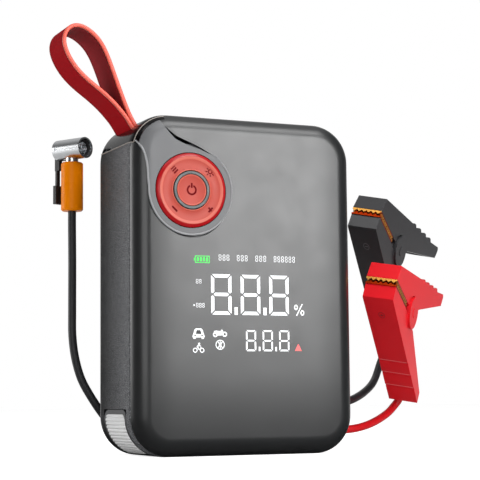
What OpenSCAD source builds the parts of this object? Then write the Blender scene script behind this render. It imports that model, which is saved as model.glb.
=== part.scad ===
// Jump starter pack with a built-in tyre inflator.
// +X right, +Y to the back, +Z up. The origin is the centre of the flat base. Millimetres.

/* [Body] */
// Width of the case
body_w = 136; // [130:1:150]
// Depth of the case
body_d = 64; // [62:1:72]
// Height of the case
body_h = 190; // [186:1:205]
// Corner radius of the case seen from the front
corner_r = 22; // [20:1:24]
// Rounding of the front and back edges
edge_r = 10; // [8:0.5:12]
// Wall of the front and rear covers
wall = 2.2; // [1.8:0.1:2.6]
// Thickness of the grained side band
wrap_t = 1; // [0.8:0.1:1.4]
// Depth of the front cover behind the front face
cover_depth = 7; // [6:0.5:8]
// Clearance between pieces that are fixed together
fit_gap = 0.12; // [0.08:0.02:0.2]
// Radial clearance of a pin or shaft that turns in its bore
run_gap = 0.05; // [0.02:0.01:0.08]
// Clearance of a moving piece beside its neighbour
move_gap = 0.4; // [0.3:0.05:0.5]

/* [Case screws] */
// Radius of a screw post
post_r = 4; // [3.6:0.1:4.5]
// Radius of the screw shank
screw_r = 1.2; // [1:0.1:1.5]
// Radius of the screw head
screw_head_r = 2.4; // [2.1:0.1:2.7]
// Length of the screw shank
screw_len = 20; // [16:1:22]

/* [Control panel] */
// Distance of the rocker ring's centre from the left side
ring_in = 33.5; // [32:0.5:35]
// Distance of the rocker ring's centre below the top
ring_down = 43; // [41:0.5:45]
// Radius of the panel around the ring
pod_r = 25.2; // [24.8:0.1:26]
// Height of the panel over the front face
pod_rise = 0.8; // [0.5:0.1:1.2]
// Outer radius of the rocker ring
ring_r = 20.8; // [20:0.05:22]
// Height of the rocker ring over the panel
ring_rise = 1.4; // [1.2:0.1:2.5]
// Width of the sloping shoulder around the rocker ring
ring_shoulder = 2; // [1.5:0.1:2.5]
// Outer radius of the grey bezel around the power button
bezel_r = 10.6; // [10.4:0.1:11.6]
// Radius of the power button
button_r = 8.75; // [8:0.05:9]
// Travel of the power button
button_travel = 0.6; // [0.4:0.1:0.8]

/* [Display] */
// Distance of the display's upper edge below the top of the case
display_down = 75; // [74:0.5:80]
// Height of the display
display_h = 60; // [58:0.5:62]
// Height of the large digits
digit_h = 22.4; // [20:0.2:24]
// Height of the small digits
small_digit_h = 11.7; // [10:0.1:13]
// Skin left in front of the display
skin = 0.7; // [0.5:0.1:0.9]

/* [Wrist strap] */
// Width of the strap
strap_w = 26; // [22:1:28]
// Thickness of the strap
strap_t = 2.2; // [1.8:0.1:2.2]
// Radius of the pin that the strap loops around
strap_pin_r = 1.2; // [1:0.1:1.3]

/* [Torch] */
// Depth of the ribbed lens along the case
lens_d = 30; // [26:1:31]
// Thickness of the lens
lens_t = 1.9; // [1.6:0.1:2.2]
// Number of ribs on the lens
lens_ribs = 17; // [12:1:20]

/* [Air hose and chuck] */
// Radius of the air hose
hose_r = 2.4; // [2.2:0.1:2.6]
// Radius of the orange barrel
barrel_r = 6.5; // [6.2:0.1:6.8]
// Length of the orange barrel
barrel_h = 29; // [26:0.5:30]
// Radius of the chuck head
head_r = 6.25; // [6:0.05:6.5]
// Length of the chuck head
head_len = 21.5; // [20:0.5:23]
// Radius of the bore that takes the tyre valve
valve_r = 4.1; // [4:0.05:4.3]

/* [Jump leads and plug] */
// Radius of a jump lead
lead_r = 2.5; // [2.3:0.1:2.7]
// Width of the right-angled plug
plug_w = 30; // [28:1:32]
// Height of the right-angled plug
plug_h = 25; // [24:1:27]

/* [Clamps] */
// Width of a clamp arm
arm_w = 19; // [18:0.5:20]
// Length of the lower arm behind the jaw tip
arm_len = 115; // [112:1:118]
// Wall of a clamp arm
arm_wall = 2; // [1.6:0.1:2.4]
// Radius of the round hinge boss
boss_r = 10; // [9:0.5:10.5]
// Radius of the hinge pin
pivot_r = 2; // [1.8:0.1:2.2]
// Wire radius of the clamp spring
spring_wire_r = 0.7; // [0.6:0.1:0.8]
// Height of the copper teeth
tooth_h = 1.8; // [1.5:0.1:2]

/* [Compressor] */
// Teeth of the motor pinion
pinion_teeth = 12; // [12:1:12]
// Teeth of the crank gear
gear_teeth = 44; // [44:1:44]
// Gear module
gear_module = 0.8; // [0.8:0.1:0.8]
// Stroke of the piston
stroke = 12; // [10:1:12]
// Radius of the cylinder bore
cyl_r = 8; // [7.5:0.1:8.2]
// Radius of the motor
motor_r = 12.4; // [12:0.1:12.8]

/* [Power] */
// Number of battery pouches
cells = 3; // [2:1:3]
// Thickness of one battery pouch
cell_t = 8.6; // [7.5:0.1:8.6]
// Width of one battery pouch
cell_w = 56; // [50:1:58]
// Height of one battery pouch
cell_h = 120; // [110:1:124]

/* [Hidden] */
$fn = 48;

graphite = "#5c5e60";
gloss_black = "#1c1c1e";
pod_grey = "#8a8a8a";
red_plastic = "#d8352f";
copper = "#c97a35";
steel = "#b9bcc0";

front_y = -body_d / 2;
back_y = body_d / 2;
seam_y = front_y + cover_depth;
band_y = back_y - edge_r;
inner = wall + wrap_t;
left_x = -body_w / 2;
right_x = body_w / 2;
corner_x = right_x - corner_r;
top_z = body_h - corner_r;
ring_x = right_x - ring_in;
ring_z = body_h - ring_down;

// Shared helpers -------------------------------------------------------------

// A round 2-D arc as points, from angle a0 to a1.
function arc(c, r, a0, a1, n) = [for (i = [0:n]) let (a = a0 + (a1 - a0) * i / n) c + r * [cos(a), sin(a)]];

// One point of a smooth curve through b and c.
function smooth(a, b, c, d, t) =
  0.5 * (2 * b + (c - a) * t + (2 * a - 5 * b + 4 * c - d) * t * t + (3 * b - a - 3 * c + d) * t * t * t);

// A smooth curve through points p, with n steps between two of them.
function curve(p, n) = let (k = len(p), q = concat([2 * p[0] - p[1]], p, [2 * p[k - 1] - p[k - 2]]))
  concat([for (i = [1:k - 1], j = [0:n - 1]) smooth(q[i - 1], q[i], q[i + 1], q[i + 2], j / n)], [p[k - 1]]);

// A closed smooth curve through points p.
function loop(p, n) = let (k = len(p))
  [for (i = [0:k - 1], j = [0:n - 1])
    smooth(p[(i + k - 1) % k], p[i], p[(i + 1) % k], p[(i + 2) % k], j / n)];

// A closed outline p moved outwards by g (p runs anticlockwise).
function grow(p, g) = let (k = len(p)) [for (i = [0:k - 1])
  let (d = p[(i + 1) % k] - p[(i + k - 1) % k]) p[i] + g * [d[1], -d[0]] / norm(d)];

function unit(v) = v / norm(v);

// Rings of n points around a route p, carried along it without twist, as one closed tube.
module tube(p, r, n) {
  k = len(p);
  dir = [for (i = [0:k - 1]) unit(p[min(i + 1, k - 1)] - p[max(i - 1, 0)])];
  side0 = unit(cross(dir[0], abs(dir[0][2]) < 0.9 ? [0, 0, 1] : [0, 1, 0]));
  side = [for (i = 0, s = side0; i < k; i = i + 1, s = i < k ? unit(s - dir[i] * (s * dir[i])) : s) s];
  pts = [for (i = [0:k - 1], j = [0:n - 1])
    p[i] + r * (cos(360 * j / n) * side[i] + sin(360 * j / n) * cross(dir[i], side[i]))];
  skin_faces = [for (i = [0:k - 2], j = [0:n - 1], t = [0, 1]) let (a = i * n + j, b = i * n + (j + 1) % n)
    t == 0 ? [a, b, b + n] : [a, b + n, a + n]];
  first = [for (j = [0:n - 1]) n - 1 - j];
  last = [for (j = [0:n - 1]) (k - 1) * n + j];
  polyhedron(pts, concat([first], skin_faces, [last]));
}

// An XZ outline made solid from y0 to y1.
module slab(y0, y1) {
  translate([0, y1, 0]) rotate([90, 0, 0]) linear_extrude(y1 - y0) children();
}

// The rounded outer form of the case, drawn in by an inset.
module form(inset = 0) {
  hull() for (x = [-corner_x, corner_x], z = [corner_r, top_z], y = [front_y + edge_r, back_y - edge_r])
    translate([x, y, z]) rotate([90, 0, 0]) rotate_extrude($fn = 40)
      translate([corner_r - edge_r, 0]) circle(edge_r - inset, $fn = 32);
}

// A box given by its two corners.
module block(a, b) {
  translate(a) cube(b - a);
}

// A sector of a ring in 2-D around c, between radii and angles.
module sector(c, r0, r1, a0, a1) {
  polygon(concat(arc(c, r1, a0, a1, 24), arc(c, r0, a1, a0, 24)));
}

// Places of the case screws.
screw_at = [[right_x - 11, 16], [right_x - 15, body_h - 9.6], [left_x + 9, 36], [left_x + 9, 112]];
post_end = front_y + 20;

// Strap corner ----------------------------------------------------------------

strap_c = [-corner_x, top_z];
saddle_r = corner_r - 3.2;
saddle_a0 = 98;
saddle_a1 = 166;
saddle_back = back_y - 8;
slot_u = 1.6;
pin_n = -7;
saddle_block = [9, strap_w / 2 + 4, 12];

// The frame of the strap: origin on the corner at 45 degrees, X along the corner, Z outwards.
module strap_frame() {
  translate([-corner_x - corner_r * cos(45), 0, top_z + corner_r * sin(45)]) rotate([0, -45, 0]) children();
}

// The corner that the saddle takes out of the covers.
module saddle_room(g) {
  slab(front_y - 5, saddle_back + g)
    sector(strap_c, saddle_r - g, corner_r + 8, saddle_a0 - g * 2, saddle_a1 + g * 2);
  strap_frame() block([slot_u - saddle_block[0] - g, -saddle_block[1] - g, -saddle_block[2] - g],
                      [slot_u + saddle_block[0] + g, saddle_block[1] + g, 0]);
}

module strap_saddle() color(gloss_black) difference() {
  intersection() {
    form();
    union() {
      slab(front_y - 5, saddle_back) sector(strap_c, saddle_r, corner_r + 8, saddle_a0, saddle_a1);
      strap_frame() block([slot_u - saddle_block[0], -saddle_block[1], -saddle_block[2]],
                          [slot_u + saddle_block[0], saddle_block[1], 0]);
    }
  }
  strap_frame() {
    block([slot_u - strap_t - 0.5, -strap_w / 2 - 0.4, -6], [slot_u + strap_t + 0.5, strap_w / 2 + 0.4, 5]);
    block([slot_u - strap_t - 1.7, -strap_w / 2 - 0.4, -saddle_block[2] - 1],
          [slot_u + strap_t + 1.7, strap_w / 2 + 0.4, -2]);
    translate([slot_u, 0, pin_n]) rotate([90, 0, 0])
      cylinder(r = strap_pin_r + run_gap, h = 2 * saddle_block[1] + 2, center = true);
  }
}

module strap_pin() color(steel) strap_frame() translate([slot_u, 0, pin_n]) rotate([90, 0, 0])
  cylinder(r = strap_pin_r, h = 2 * saddle_block[1] - 0.4, center = true);

// Middle line of the strap, around the pin and up through the loop, in the strap frame.
strap_turn = strap_pin_r + 0.15 + strap_t / 2;
strap_half = strap_t / 2 + 0.06;
strap_line = concat(
  [[slot_u + strap_half, 0.5], [4.9, 8], [8.6, 17], [13, 27], [17.9, 37.8], [21, 47.8], [20.2, 57],
   [17, 62.8], [11.9, 64.8], [6.5, 63], [2.3, 58], [-0.6, 48], [-0.4, 37], [1.4, 27], [2.3, 17], [1.9, 8]],
  [[slot_u - strap_half, 0.5], [slot_u - 1.3, -1.6], [slot_u - 1.85, -4]],
  arc([slot_u, pin_n], strap_turn, 170, 370, 7),
  [[slot_u + 1.85, -4], [slot_u + 1.3, -1.6]]);

module wrist_strap() color("#b3242a") strap_frame() slab(-strap_w / 2, strap_w / 2) difference() {
  polygon(grow(loop(strap_line, 4), strap_t / 2));
  polygon(grow(loop(strap_line, 4), -strap_t / 2));
}

// Torch corner ----------------------------------------------------------------

lamp_c = [-corner_x, corner_r];
lamp_y0 = seam_y + 6;
lamp_y1 = lamp_y0 + lens_d + 6;
lamp_r0 = 10;
lamp_a0 = 169;
lamp_a1 = 255;
lamp_frame = 3;
lamp_frame_a = 7;

led_board_r = lamp_r0 + 2.2;
led_board_w = 7.2;

// The frame of the lamp: its origin on the corner's centre, -X out through the middle of the lens.
module lamp_diagonal() {
  translate([lamp_c[0], (lamp_y0 + lamp_y1) / 2, lamp_c[1]])
    rotate([0, 180 - (lamp_a0 + lamp_a1) / 2, 0]) children();
}

module lamp_room(g) {
  slab(lamp_y0 - g, lamp_y1 + g) sector(lamp_c, lamp_r0 - g, corner_r + 12, lamp_a0 - g * 2, lamp_a1 + g * 2);
}

module lamp_bezel() color(gloss_black) difference() {
  slab(lamp_y0, lamp_y1) sector(lamp_c, corner_r - 3, corner_r - 0.1, lamp_a0, lamp_a1);
  slab(lamp_y0 + lamp_frame, lamp_y1 - lamp_frame)
    sector(lamp_c, corner_r - 6, corner_r + 2, lamp_a0 + lamp_frame_a, lamp_a1 - lamp_frame_a);
}

module lamp_lens() color("#e8eef2") {
  a0 = lamp_a0 + lamp_frame_a + 0.4;
  a1 = lamp_a1 - lamp_frame_a - 0.4;
  steps = lens_ribs * 6;
  outer = [for (i = [0:steps]) let (a = a0 + (a1 - a0) * i / steps)
    lamp_c + (corner_r - 0.3 - 0.25 * (1 + cos(360 * i / 6))) * [cos(a), sin(a)]];
  slab(lamp_y0 + lamp_frame + fit_gap, lamp_y1 - lamp_frame - fit_gap)
    polygon(concat(outer, arc(lamp_c, corner_r - 0.5 - lens_t, a1, a0, 24)));
}

module lamp_reflector() color("#dfe2e6") difference() {
  slab(lamp_y0 + 0.3, lamp_y1 - 0.3) sector(lamp_c, lamp_r0, corner_r - 3.1, lamp_a0 + 1, lamp_a1 - 1);
  difference() {
    slab(lamp_y0 + 1.5, lamp_y1 - 1.5) sector(lamp_c, lamp_r0 + 1.2, corner_r, lamp_a0 + 6, lamp_a1 - 6);
    lamp_diagonal() block([-led_board_r, -lens_d, -led_board_w / 2], [0, lens_d, led_board_w / 2]);
  }
}

module lamp_board() color("#f2f2ee") lamp_diagonal() {
  block([-led_board_r - 1, -lens_d / 2, -led_board_w / 2], [-led_board_r, lens_d / 2, led_board_w / 2]);
  for (y = [-10, 0, 10]) block([-led_board_r - 1.8, y - 1.75, -1.75], [-led_board_r - 1, y + 1.75, 1.75]);
}

// Control panel ------------------------------------------------------------------

face_h = body_d / 2;
pod_h = face_h + pod_rise;
ring_top = pod_h + ring_rise;
tilt_h = face_h - 2.4;
cup_h = face_h - 9.6;
cup_r = ring_r + move_gap;
bezel_in = button_r + 0.25;

// The frame of the controls: Z comes out of the front face, its zero in the middle of the case.
module face_frame() {
  translate([-ring_x, 0, ring_z]) rotate([90, 0, 0]) children();
}

// The two edges of the panel's tail, measured from the centre of the case's corner.
tail_high = [[23.7, 1.2], [18, 2.8], [11, 5.4], [3.6, 9.2], [-2.1, 13.4], [-6.2, 17]];
tail_low = [[-17.2, 1], [-15.2, -4.5], [-14, -9.5]];

// Outline of the panel: round about the ring, with a tail that sweeps to the corner.
function pod_outline(g) = grow(concat(
  arc([-ring_x, ring_z], pod_r, 165, 422, 40),
  curve([for (p = tail_high) strap_c + p], 3),
  arc(strap_c, saddle_r - fit_gap, 113, 170, 8),
  curve([for (p = tail_low) strap_c + p], 2)), g);

module control_panel() color(pod_grey) difference() {
  union() {
    slab(-pod_h, -(face_h - 4.5)) polygon(pod_outline(0));
    face_frame() translate([0, 0, cup_h]) cylinder(r = pod_r + 1.2, h = face_h - 3 - cup_h);
  }
  face_frame() translate([0, 0, cup_h - 1]) cylinder(r = cup_r, h = 20, $fn = 96);
}

module rocker_ring() color("#e0554b") difference() {
  face_frame() rotate_extrude($fn = 96) polygon(concat(
    [[bezel_r + move_gap, ring_top - 2.4], [bezel_r + move_gap, ring_top - 0.6]],
    [[ring_r - ring_shoulder - 2, ring_top - 0.2]],
    arc([ring_r - ring_shoulder, ring_top - 0.8], 0.8, 100, 60, 4),
    [[ring_r, ring_top - 1.2], [ring_r, tilt_h - 0.2]],
    [[ring_r - 1.5, tilt_h - 0.2], [ring_r - 1.5, tilt_h - 2.6],
     [ring_r - 3.1, tilt_h - 2.6], [ring_r - 3.1, ring_top - 2.4]]));
  face_frame() rotate([0, 0, 135]) translate([0, 0, tilt_h]) rotate([0, 90, 0])
    cylinder(r = 0.8 + run_gap, h = 2 * ring_r - 3.4, center = true, $fn = 24);
}

module ring_gimbal() color("#3a3a3d") face_frame() {
  difference() {
    translate([0, 0, tilt_h - 1]) cylinder(r = 17, h = 2);
    translate([0, 0, tilt_h - 2]) cylinder(r = 13.2, h = 4);
  }
  for (a = [45, 225]) rotate([0, 0, a]) translate([bezel_in + 0.5, 0, tilt_h]) rotate([0, 90, 0])
    cylinder(r = 0.8, h = 13.6 - bezel_in - 0.5, $fn = 24);
  for (a = [135, 315]) rotate([0, 0, a]) translate([16.5, 0, tilt_h]) rotate([0, 90, 0])
    cylinder(r = 0.8, h = ring_r - 1.9 - 16.5, $fn = 24);
}

module ring_bezel() color("#9aa0a4") face_frame() difference() {
  union() {
    translate([0, 0, cup_h]) cylinder(r = bezel_r, h = ring_top + 0.1 - cup_h, $fn = 96);
    translate([0, 0, cup_h]) cylinder(r = bezel_r + 1.5, h = 1.4);
  }
  translate([0, 0, cup_h - 1]) cylinder(r = bezel_in, h = 20, $fn = 96);
  rotate([0, 0, 45]) translate([0, 0, tilt_h]) rotate([0, 90, 0])
    cylinder(r = 0.8 + run_gap, h = 2 * bezel_r + 2, center = true, $fn = 24);
}

dome_h = 1.6;

module power_button() color("#d9463d") face_frame() {
  top = ring_top - 0.1;
  low = cup_h + dome_h + button_travel + 0.15;
  rotate_extrude($fn = 72) polygon(concat([[0, low + 2]], [[button_r, low + 2]],
    arc([button_r - 0.8, top - 0.8], 0.8, 0, 90, 4), [[0, top]]));
  translate([0, 0, low]) cylinder(r = 2, h = 2.5);
}

module switch_board() color("#1f6b43") face_frame() {
  translate([0, 0, cup_h - 1.6]) cylinder(r = pod_r, h = 1.6);
  translate([0, 0, cup_h]) cylinder(r = 3, h = dome_h);
  for (a = [45, 135, 225, 315]) rotate([0, 0, a]) translate([ring_r - 2.6, 0, cup_h]) {
    block([-2, -2, -0.1], [2, 2, tilt_h - 5 - cup_h]);
    cylinder(r = 1, h = tilt_h - 3.4 - cup_h);
  }
}

// Display --------------------------------------------------------------------------

guide_y = front_y + 5.2;
window = [[-37, body_h - display_down - display_h], [37, body_h - display_down]];
digit_w = 12.2;
digit_x = [-16.2, 1.6, 19.4];
digit_z = window[1][1] - 36.8;
small_digit_w = 6.3;
small_digit_x = [1.7, 12, 22.4];
small_digit_z = window[1][1] - 56.9;

// One bar of a digit: a long hexagon from a to b.
module bar(a, b, w) {
  n = w / 2 * unit([a[1] - b[1], b[0] - a[0]]);
  d = w / 2 * unit(b - a);
  polygon([a, a + d + n, b - d + n, b, b - d - n, a + d - n]);
}

// A seven-bar figure 8 with its lower left corner at the origin.
module eight(w, h, bar_w) {
  in = bar_w / 2;
  g = bar_w * 0.12;
  for (x = [in, w - in], z = [[in, h / 2], [h / 2, h - in]])
    bar([x, z[0] + g], [x, z[1] - g], bar_w);
  for (z = [in, h / 2, h - in]) bar([in + g, z], [w - in - g, z], bar_w);
}

// The lit marks of the display, in XZ.
module marks() {
  for (x = digit_x) translate([x - digit_w / 2, digit_z]) eight(digit_w, digit_h, 2.1);
  for (x = small_digit_x) translate([x - small_digit_w / 2, small_digit_z])
    eight(small_digit_w, small_digit_h, 1.1);
  for (x = [digit_x[0], digit_x[1]]) translate([x + digit_w / 2 + 1.6, digit_z]) square([2.2, 2.8]);
  for (x = [small_digit_x[0], small_digit_x[1]])
    translate([x + small_digit_w / 2 + 1.2, small_digit_z]) square([1.1, 1.6]);
  for (p = [[-27.9, -6.3], [-14.2, -5.1], [-3, -5.1], [8.5, -5.1], [23.3, -5.1], [-29.8, -18.6],
            [-29.8, -31.8], [32, -33.5], [-30.2, -47.6], [-17.2, -47], [-30.2, -55.2], [-17.2, -53.6],
            [31.1, -54.9]])
    translate([p[0], window[1][1] + p[1]]) square([6, 3.6], center = true);
}

module front_shell() color(graphite) difference() {
  union() {
    difference() {
      intersection() {
        form();
        block([-body_w, front_y - 1, -1], [body_w, seam_y, body_h + 1]);
      }
      form(wall);
    }
    for (p = screw_at) translate([p[0], post_end, p[1]]) rotate([90, 0, 0])
      cylinder(r = post_r - 0.8, h = post_end - front_y - wall + 0.2);
  }
  block([window[0][0], front_y + skin, window[0][1]], [window[1][0], front_y + 6, window[1][1]]);
  slab(front_y - 2, seam_y + 1) polygon(pod_outline(fit_gap));
  saddle_room(fit_gap);
  for (p = screw_at) translate([p[0], post_end + 1, p[1]]) rotate([90, 0, 0])
    cylinder(r = screw_r + run_gap, h = screw_len - 6, $fn = 24);
}

module light_guide() color("#f4f4f0") difference() {
  block([window[0][0] + 0.3, front_y + skin + fit_gap, window[0][1] + 0.3],
        [window[1][0] - 0.3, guide_y, window[1][1] - 0.3]);
  slab(front_y, 0) marks();
}

module display_board() color("#1f6b43") {
  block([window[0][0] - 1, guide_y, window[0][1] - 1], [window[1][0] + 1, guide_y + 1.6, window[1][1] + 1]);
  for (x = [-26, -8, 10, 26], z = [window[0][1] + 7, window[1][1] - 11])
    block([x - 3, guide_y + 1.6, z - 3], [x + 3, guide_y + 2.8, z + 3]);
  block([-6, guide_y + 1.6, window[1][1] - 37], [6, guide_y + 3, window[1][1] - 25]);
}

// Covers ----------------------------------------------------------------------------

outlet = [left_x + 17.2, 11.4];
outlet_r = 3.2;
socket_at = [right_x - 28, 20];
socket_half = [11, 9];
flap_z = [66, 108];
flap_y = [-9, 10.5];
flap_t = 2;
port_z = [72, 87];
flap_x = right_x;
hinge_r = 1.1;
hinge_x = flap_x - hinge_r - 0.1;
flap_pin_r = 0.6;
barrel_room = 0.25;
vents = 8;
vent_z = 64;
vent_pitch = 5;
vent_h = 1.6;

tray_x = right_x - 65;
tray_z = 38;
tray_wall = 1.4;
cell_gap = 0.3;
cell_y0 = -13;
cells_y1 = cell_y0 + cells * (cell_t + cell_gap);
port_x = tray_x + cell_w + 0.6 + tray_wall;
board_t = 1.6;
board_back = cells_y1 + tray_wall + board_t;
board_boss_x = [tray_x + 5, tray_x + cell_w - 5];
board_boss_z = [tray_z + 6, tray_z + cell_h - 6];

// The opening in the right side behind the port flap.
module flap_room(g) {
  barrel = hinge_r + barrel_room;
  block([flap_x - flap_t - 0.2, flap_y[0] - g, flap_z[0] - g],
        [flap_x + 5, flap_y[1] + hinge_r + g, flap_z[1] + g]);
  block([hinge_x - barrel, flap_y[1] - barrel, flap_z[0] - g],
        [flap_x + 5, flap_y[1] + barrel, flap_z[1] + g]);
}

module rear_shell() color(graphite) difference() {
  union() {
    difference() {
      union() {
        intersection() {
          form(wrap_t + 0.03);
          block([-body_w, seam_y + fit_gap, -1], [body_w, back_y + 1, body_h + 1]);
        }
        intersection() {
          form();
          block([-body_w, band_y, -1], [body_w, back_y + 1, body_h + 1]);
        }
      }
      form(inner);
    }
    for (p = screw_at) translate([p[0], back_y - inner + 0.2, p[1]]) rotate([90, 0, 0])
      cylinder(r = post_r, h = back_y - inner + 0.2 - post_end);
    for (x = board_boss_x, z = board_boss_z) translate([x, back_y - inner + 0.2, z]) rotate([90, 0, 0])
      cylinder(r = 3, h = back_y - inner + 0.2 - board_back);
  }
  saddle_room(fit_gap);
  lamp_room(fit_gap);
  flap_room(0.3);
  for (p = screw_at) translate([p[0], back_y + 1, p[1]]) rotate([90, 0, 0]) {
    cylinder(r = screw_head_r + 0.2, h = back_y + 1 - post_end - 4, $fn = 36);
    cylinder(r = screw_r + run_gap, h = back_y + 2 - post_end, $fn = 24);
  }
  for (z = port_z) block([flap_x - 9, -1.7, z], [flap_x, 1.9, z + 9.4]);
  block([socket_at[0] - socket_half[0] - 0.1, 10, socket_at[1] - socket_half[1] - 0.1],
        [socket_at[0] + socket_half[0] + 0.1, back_y + 1, socket_at[1] + socket_half[1] + 0.1]);
  translate([outlet[0], back_y + 1, outlet[1]]) rotate([90, 0, 0]) cylinder(r = outlet_r + fit_gap, h = 10);
  for (i = [0:vents - 1]) block([motor_at[0] - 10, back_y - 6, vent_z + vent_pitch * i],
                                [motor_at[0] + 24, back_y + 1, vent_z + vent_pitch * i + vent_h]);
}

module side_wrap() color("#45474a") difference() {
  intersection() {
    form();
    block([-body_w, seam_y + fit_gap, -1], [body_w, band_y - fit_gap, body_h + 1]);
  }
  form(wrap_t);
  saddle_room(fit_gap);
  lamp_room(fit_gap);
  flap_room(0.3);
}

module case_screws() color(steel) for (p = screw_at) translate([p[0], 0, p[1]]) rotate([90, 0, 0]) {
  head = -post_end - 4;
  translate([0, 0, -(post_end + 4) - 0.02]) cylinder(r = screw_r, h = screw_len - 8, $fn = 24);
  difference() {
    translate([0, 0, head - 1.9]) cylinder(r = screw_head_r, h = 1.9 - 0.02, $fn = 36);
    translate([0, 0, head - 3]) cylinder(r = 1, h = 2, $fn = 6);
  }
}

// Port flap -----------------------------------------------------------------------

module port_flap() color("#2c2d30") {
  difference() {
    union() {
      block([flap_x - flap_t, flap_y[0], flap_z[0]], [flap_x, flap_y[1] - hinge_r - 0.6, flap_z[1]]);
      block([flap_x - flap_t + 0.3, flap_y[1] - hinge_r - 1, flap_z[0] + 4],
            [flap_x - 0.4, flap_y[1], flap_z[1] - 4]);
      translate([hinge_x, flap_y[1], flap_z[0] + 4]) cylinder(r = hinge_r, h = flap_z[1] - flap_z[0] - 8);
    }
    translate([hinge_x, flap_y[1], flap_z[0] - 1])
      cylinder(r = flap_pin_r + run_gap, h = flap_z[1] - flap_z[0] + 2, $fn = 24);
  }
}

module flap_pin() color(steel) translate([hinge_x, flap_y[1], flap_z[0] - 0.2])
  cylinder(r = flap_pin_r, h = flap_z[1] - flap_z[0] + 0.4, $fn = 24);

module usb_ports() color("#c4c8cc") {
  block([port_x, -5, 66], [port_x + 1, 8, 102]);
  for (z = port_z) difference() {
    block([port_x + 0.5, -1.6, z + 0.1], [flap_x - flap_t - 0.5, 1.8, z + 9.3]);
    block([port_x + 1, -1.2, z + 0.5], [flap_x, 1.4, z + 8.9]);
  }
}

// Power ---------------------------------------------------------------------------

module battery_cells() color("#7d8791") for (i = [0:cells - 1])
  block([tray_x + 0.3, cell_y0 + i * (cell_t + cell_gap), tray_z + 0.3],
        [tray_x + 0.3 + cell_w, cell_y0 + i * (cell_t + cell_gap) + cell_t, tray_z + 0.3 + cell_h]);

module battery_tray() color("#303236") {
  x0 = tray_x - tray_wall;
  x1 = tray_x + cell_w + 0.6;
  z1 = tray_z + cell_h + 0.6;
  block([x0, cells_y1, tray_z - tray_wall], [x1 + tray_wall, cells_y1 + tray_wall, z1 + tray_wall]);
  block([x0, cell_y0, tray_z - tray_wall], [x1 + tray_wall, cells_y1, tray_z]);
  block([x0, cell_y0, z1], [x1 + tray_wall, cells_y1, z1 + tray_wall]);
  block([x0, cell_y0, tray_z], [tray_x, cells_y1, z1]);
  block([x1, cell_y0, tray_z], [x1 + tray_wall, cells_y1, z1]);
}

module main_board() color("#1f6b43") {
  y0 = cells_y1 + tray_wall;
  y1 = y0 + board_t;
  block([tray_x, y0, tray_z - 2], [tray_x + cell_w + 2, y1, tray_z + cell_h + 2]);
  for (z = [12, 24, 36, 48]) block([tray_x + 11, y1, tray_z + z], [tray_x + 21, y1 + 4.4, tray_z + z + 9]);
  for (z = [70, 86]) translate([tray_x + 43, y1, tray_z + z]) rotate([-90, 0, 0]) cylinder(r = 5, h = 8);
  block([tray_x + 9, y1, tray_z + 72], [tray_x + 23, y1 + 2.4, tray_z + 86]);
}

module jump_socket() color("#2a3f86") {
  difference() {
    block([socket_at[0] - socket_half[0], back_y - 16, socket_at[1] - socket_half[1]],
          [socket_at[0] + socket_half[0], back_y, socket_at[1] + socket_half[1]]);
    block([socket_at[0] - socket_half[0] + 2, back_y - 12, socket_at[1] - socket_half[1] + 2],
          [socket_at[0] + socket_half[0] - 2, back_y + 1, socket_at[1] + socket_half[1] - 2]);
  }
}

// Compressor --------------------------------------------------------------------------

motor_at = [left_x + 30, 95];
mesh = gear_module * (gear_teeth + pinion_teeth) / 2;
gear_at = [motor_at[0], motor_at[1] - mesh];
plate_y = [-15.8, -13.8];
gear_y = [-21.4, -17.4];
crank_r = stroke / 2;
crank_pin_r = 2;
big_end_r = crank_pin_r + 1.6;
shaft_r = 2;
motor_shaft_r = 1.15;
rod_y = [-4, 0];
cyl_y = -2;
piston_z = 31;
piston_h = 8;
cyl_wall = 2.4;
cyl_z = [30, 54];

// Outline of a gear with straight-sided teeth; one tooth points along +X.
function gear_points(n) = let (p = gear_module * n / 2, s = 180 / PI)
  [for (i = [0:n - 1], k = [0:3])
    let (r = p + [-1, 0.75, 0.75, -1][k] * gear_module,
         half = [0.88, 0.24, -0.24, -0.88][k] * gear_module * s / r)
    r * [cos(360 * i / n - half), sin(360 * i / n - half)]];

module compressor_motor() color("#9a9da1") {
  translate([motor_at[0], 22, motor_at[1]]) rotate([90, 0, 0]) cylinder(r = motor_r, h = 22 - plate_y[1]);
  difference() {
    translate([motor_at[0], plate_y[1] + 0.5, motor_at[1]]) rotate([90, 0, 0]) cylinder(r = 5, h = 3);
    translate([motor_at[0], plate_y[1] + 1, motor_at[1]]) rotate([90, 0, 0])
      cylinder(r = motor_shaft_r + run_gap, h = 6, $fn = 32);
  }
}

module motor_pinion() color("#c9a24a") {
  slab(gear_y[0], gear_y[1]) translate(motor_at)
    rotate(90 + 180 / pinion_teeth) polygon(gear_points(pinion_teeth));
  translate([motor_at[0], plate_y[1] - 0.2, motor_at[1]]) rotate([90, 0, 0])
    cylinder(r = motor_shaft_r, h = plate_y[1] - 0.2 - gear_y[0] - 1, $fn = 32);
}

module crank_gear() color("#d8d6cc") {
  slab(gear_y[0], gear_y[1]) translate(gear_at) rotate(90) polygon(gear_points(gear_teeth));
  translate([gear_at[0], -12, gear_at[1]]) rotate([90, 0, 0]) cylinder(r = shaft_r, h = -12 - gear_y[1] + 1);
  translate([gear_at[0], -9.5, gear_at[1]]) rotate([90, 0, 0])
    cylinder(r = crank_r + crank_pin_r + 0.4, h = 2.6);
  translate([gear_at[0], rod_y[0] - move_gap, gear_at[1] - crank_r]) rotate([90, 0, 0])
    cylinder(r = crank_pin_r, h = 9.5 - move_gap + rod_y[0] + 1);
}

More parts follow.
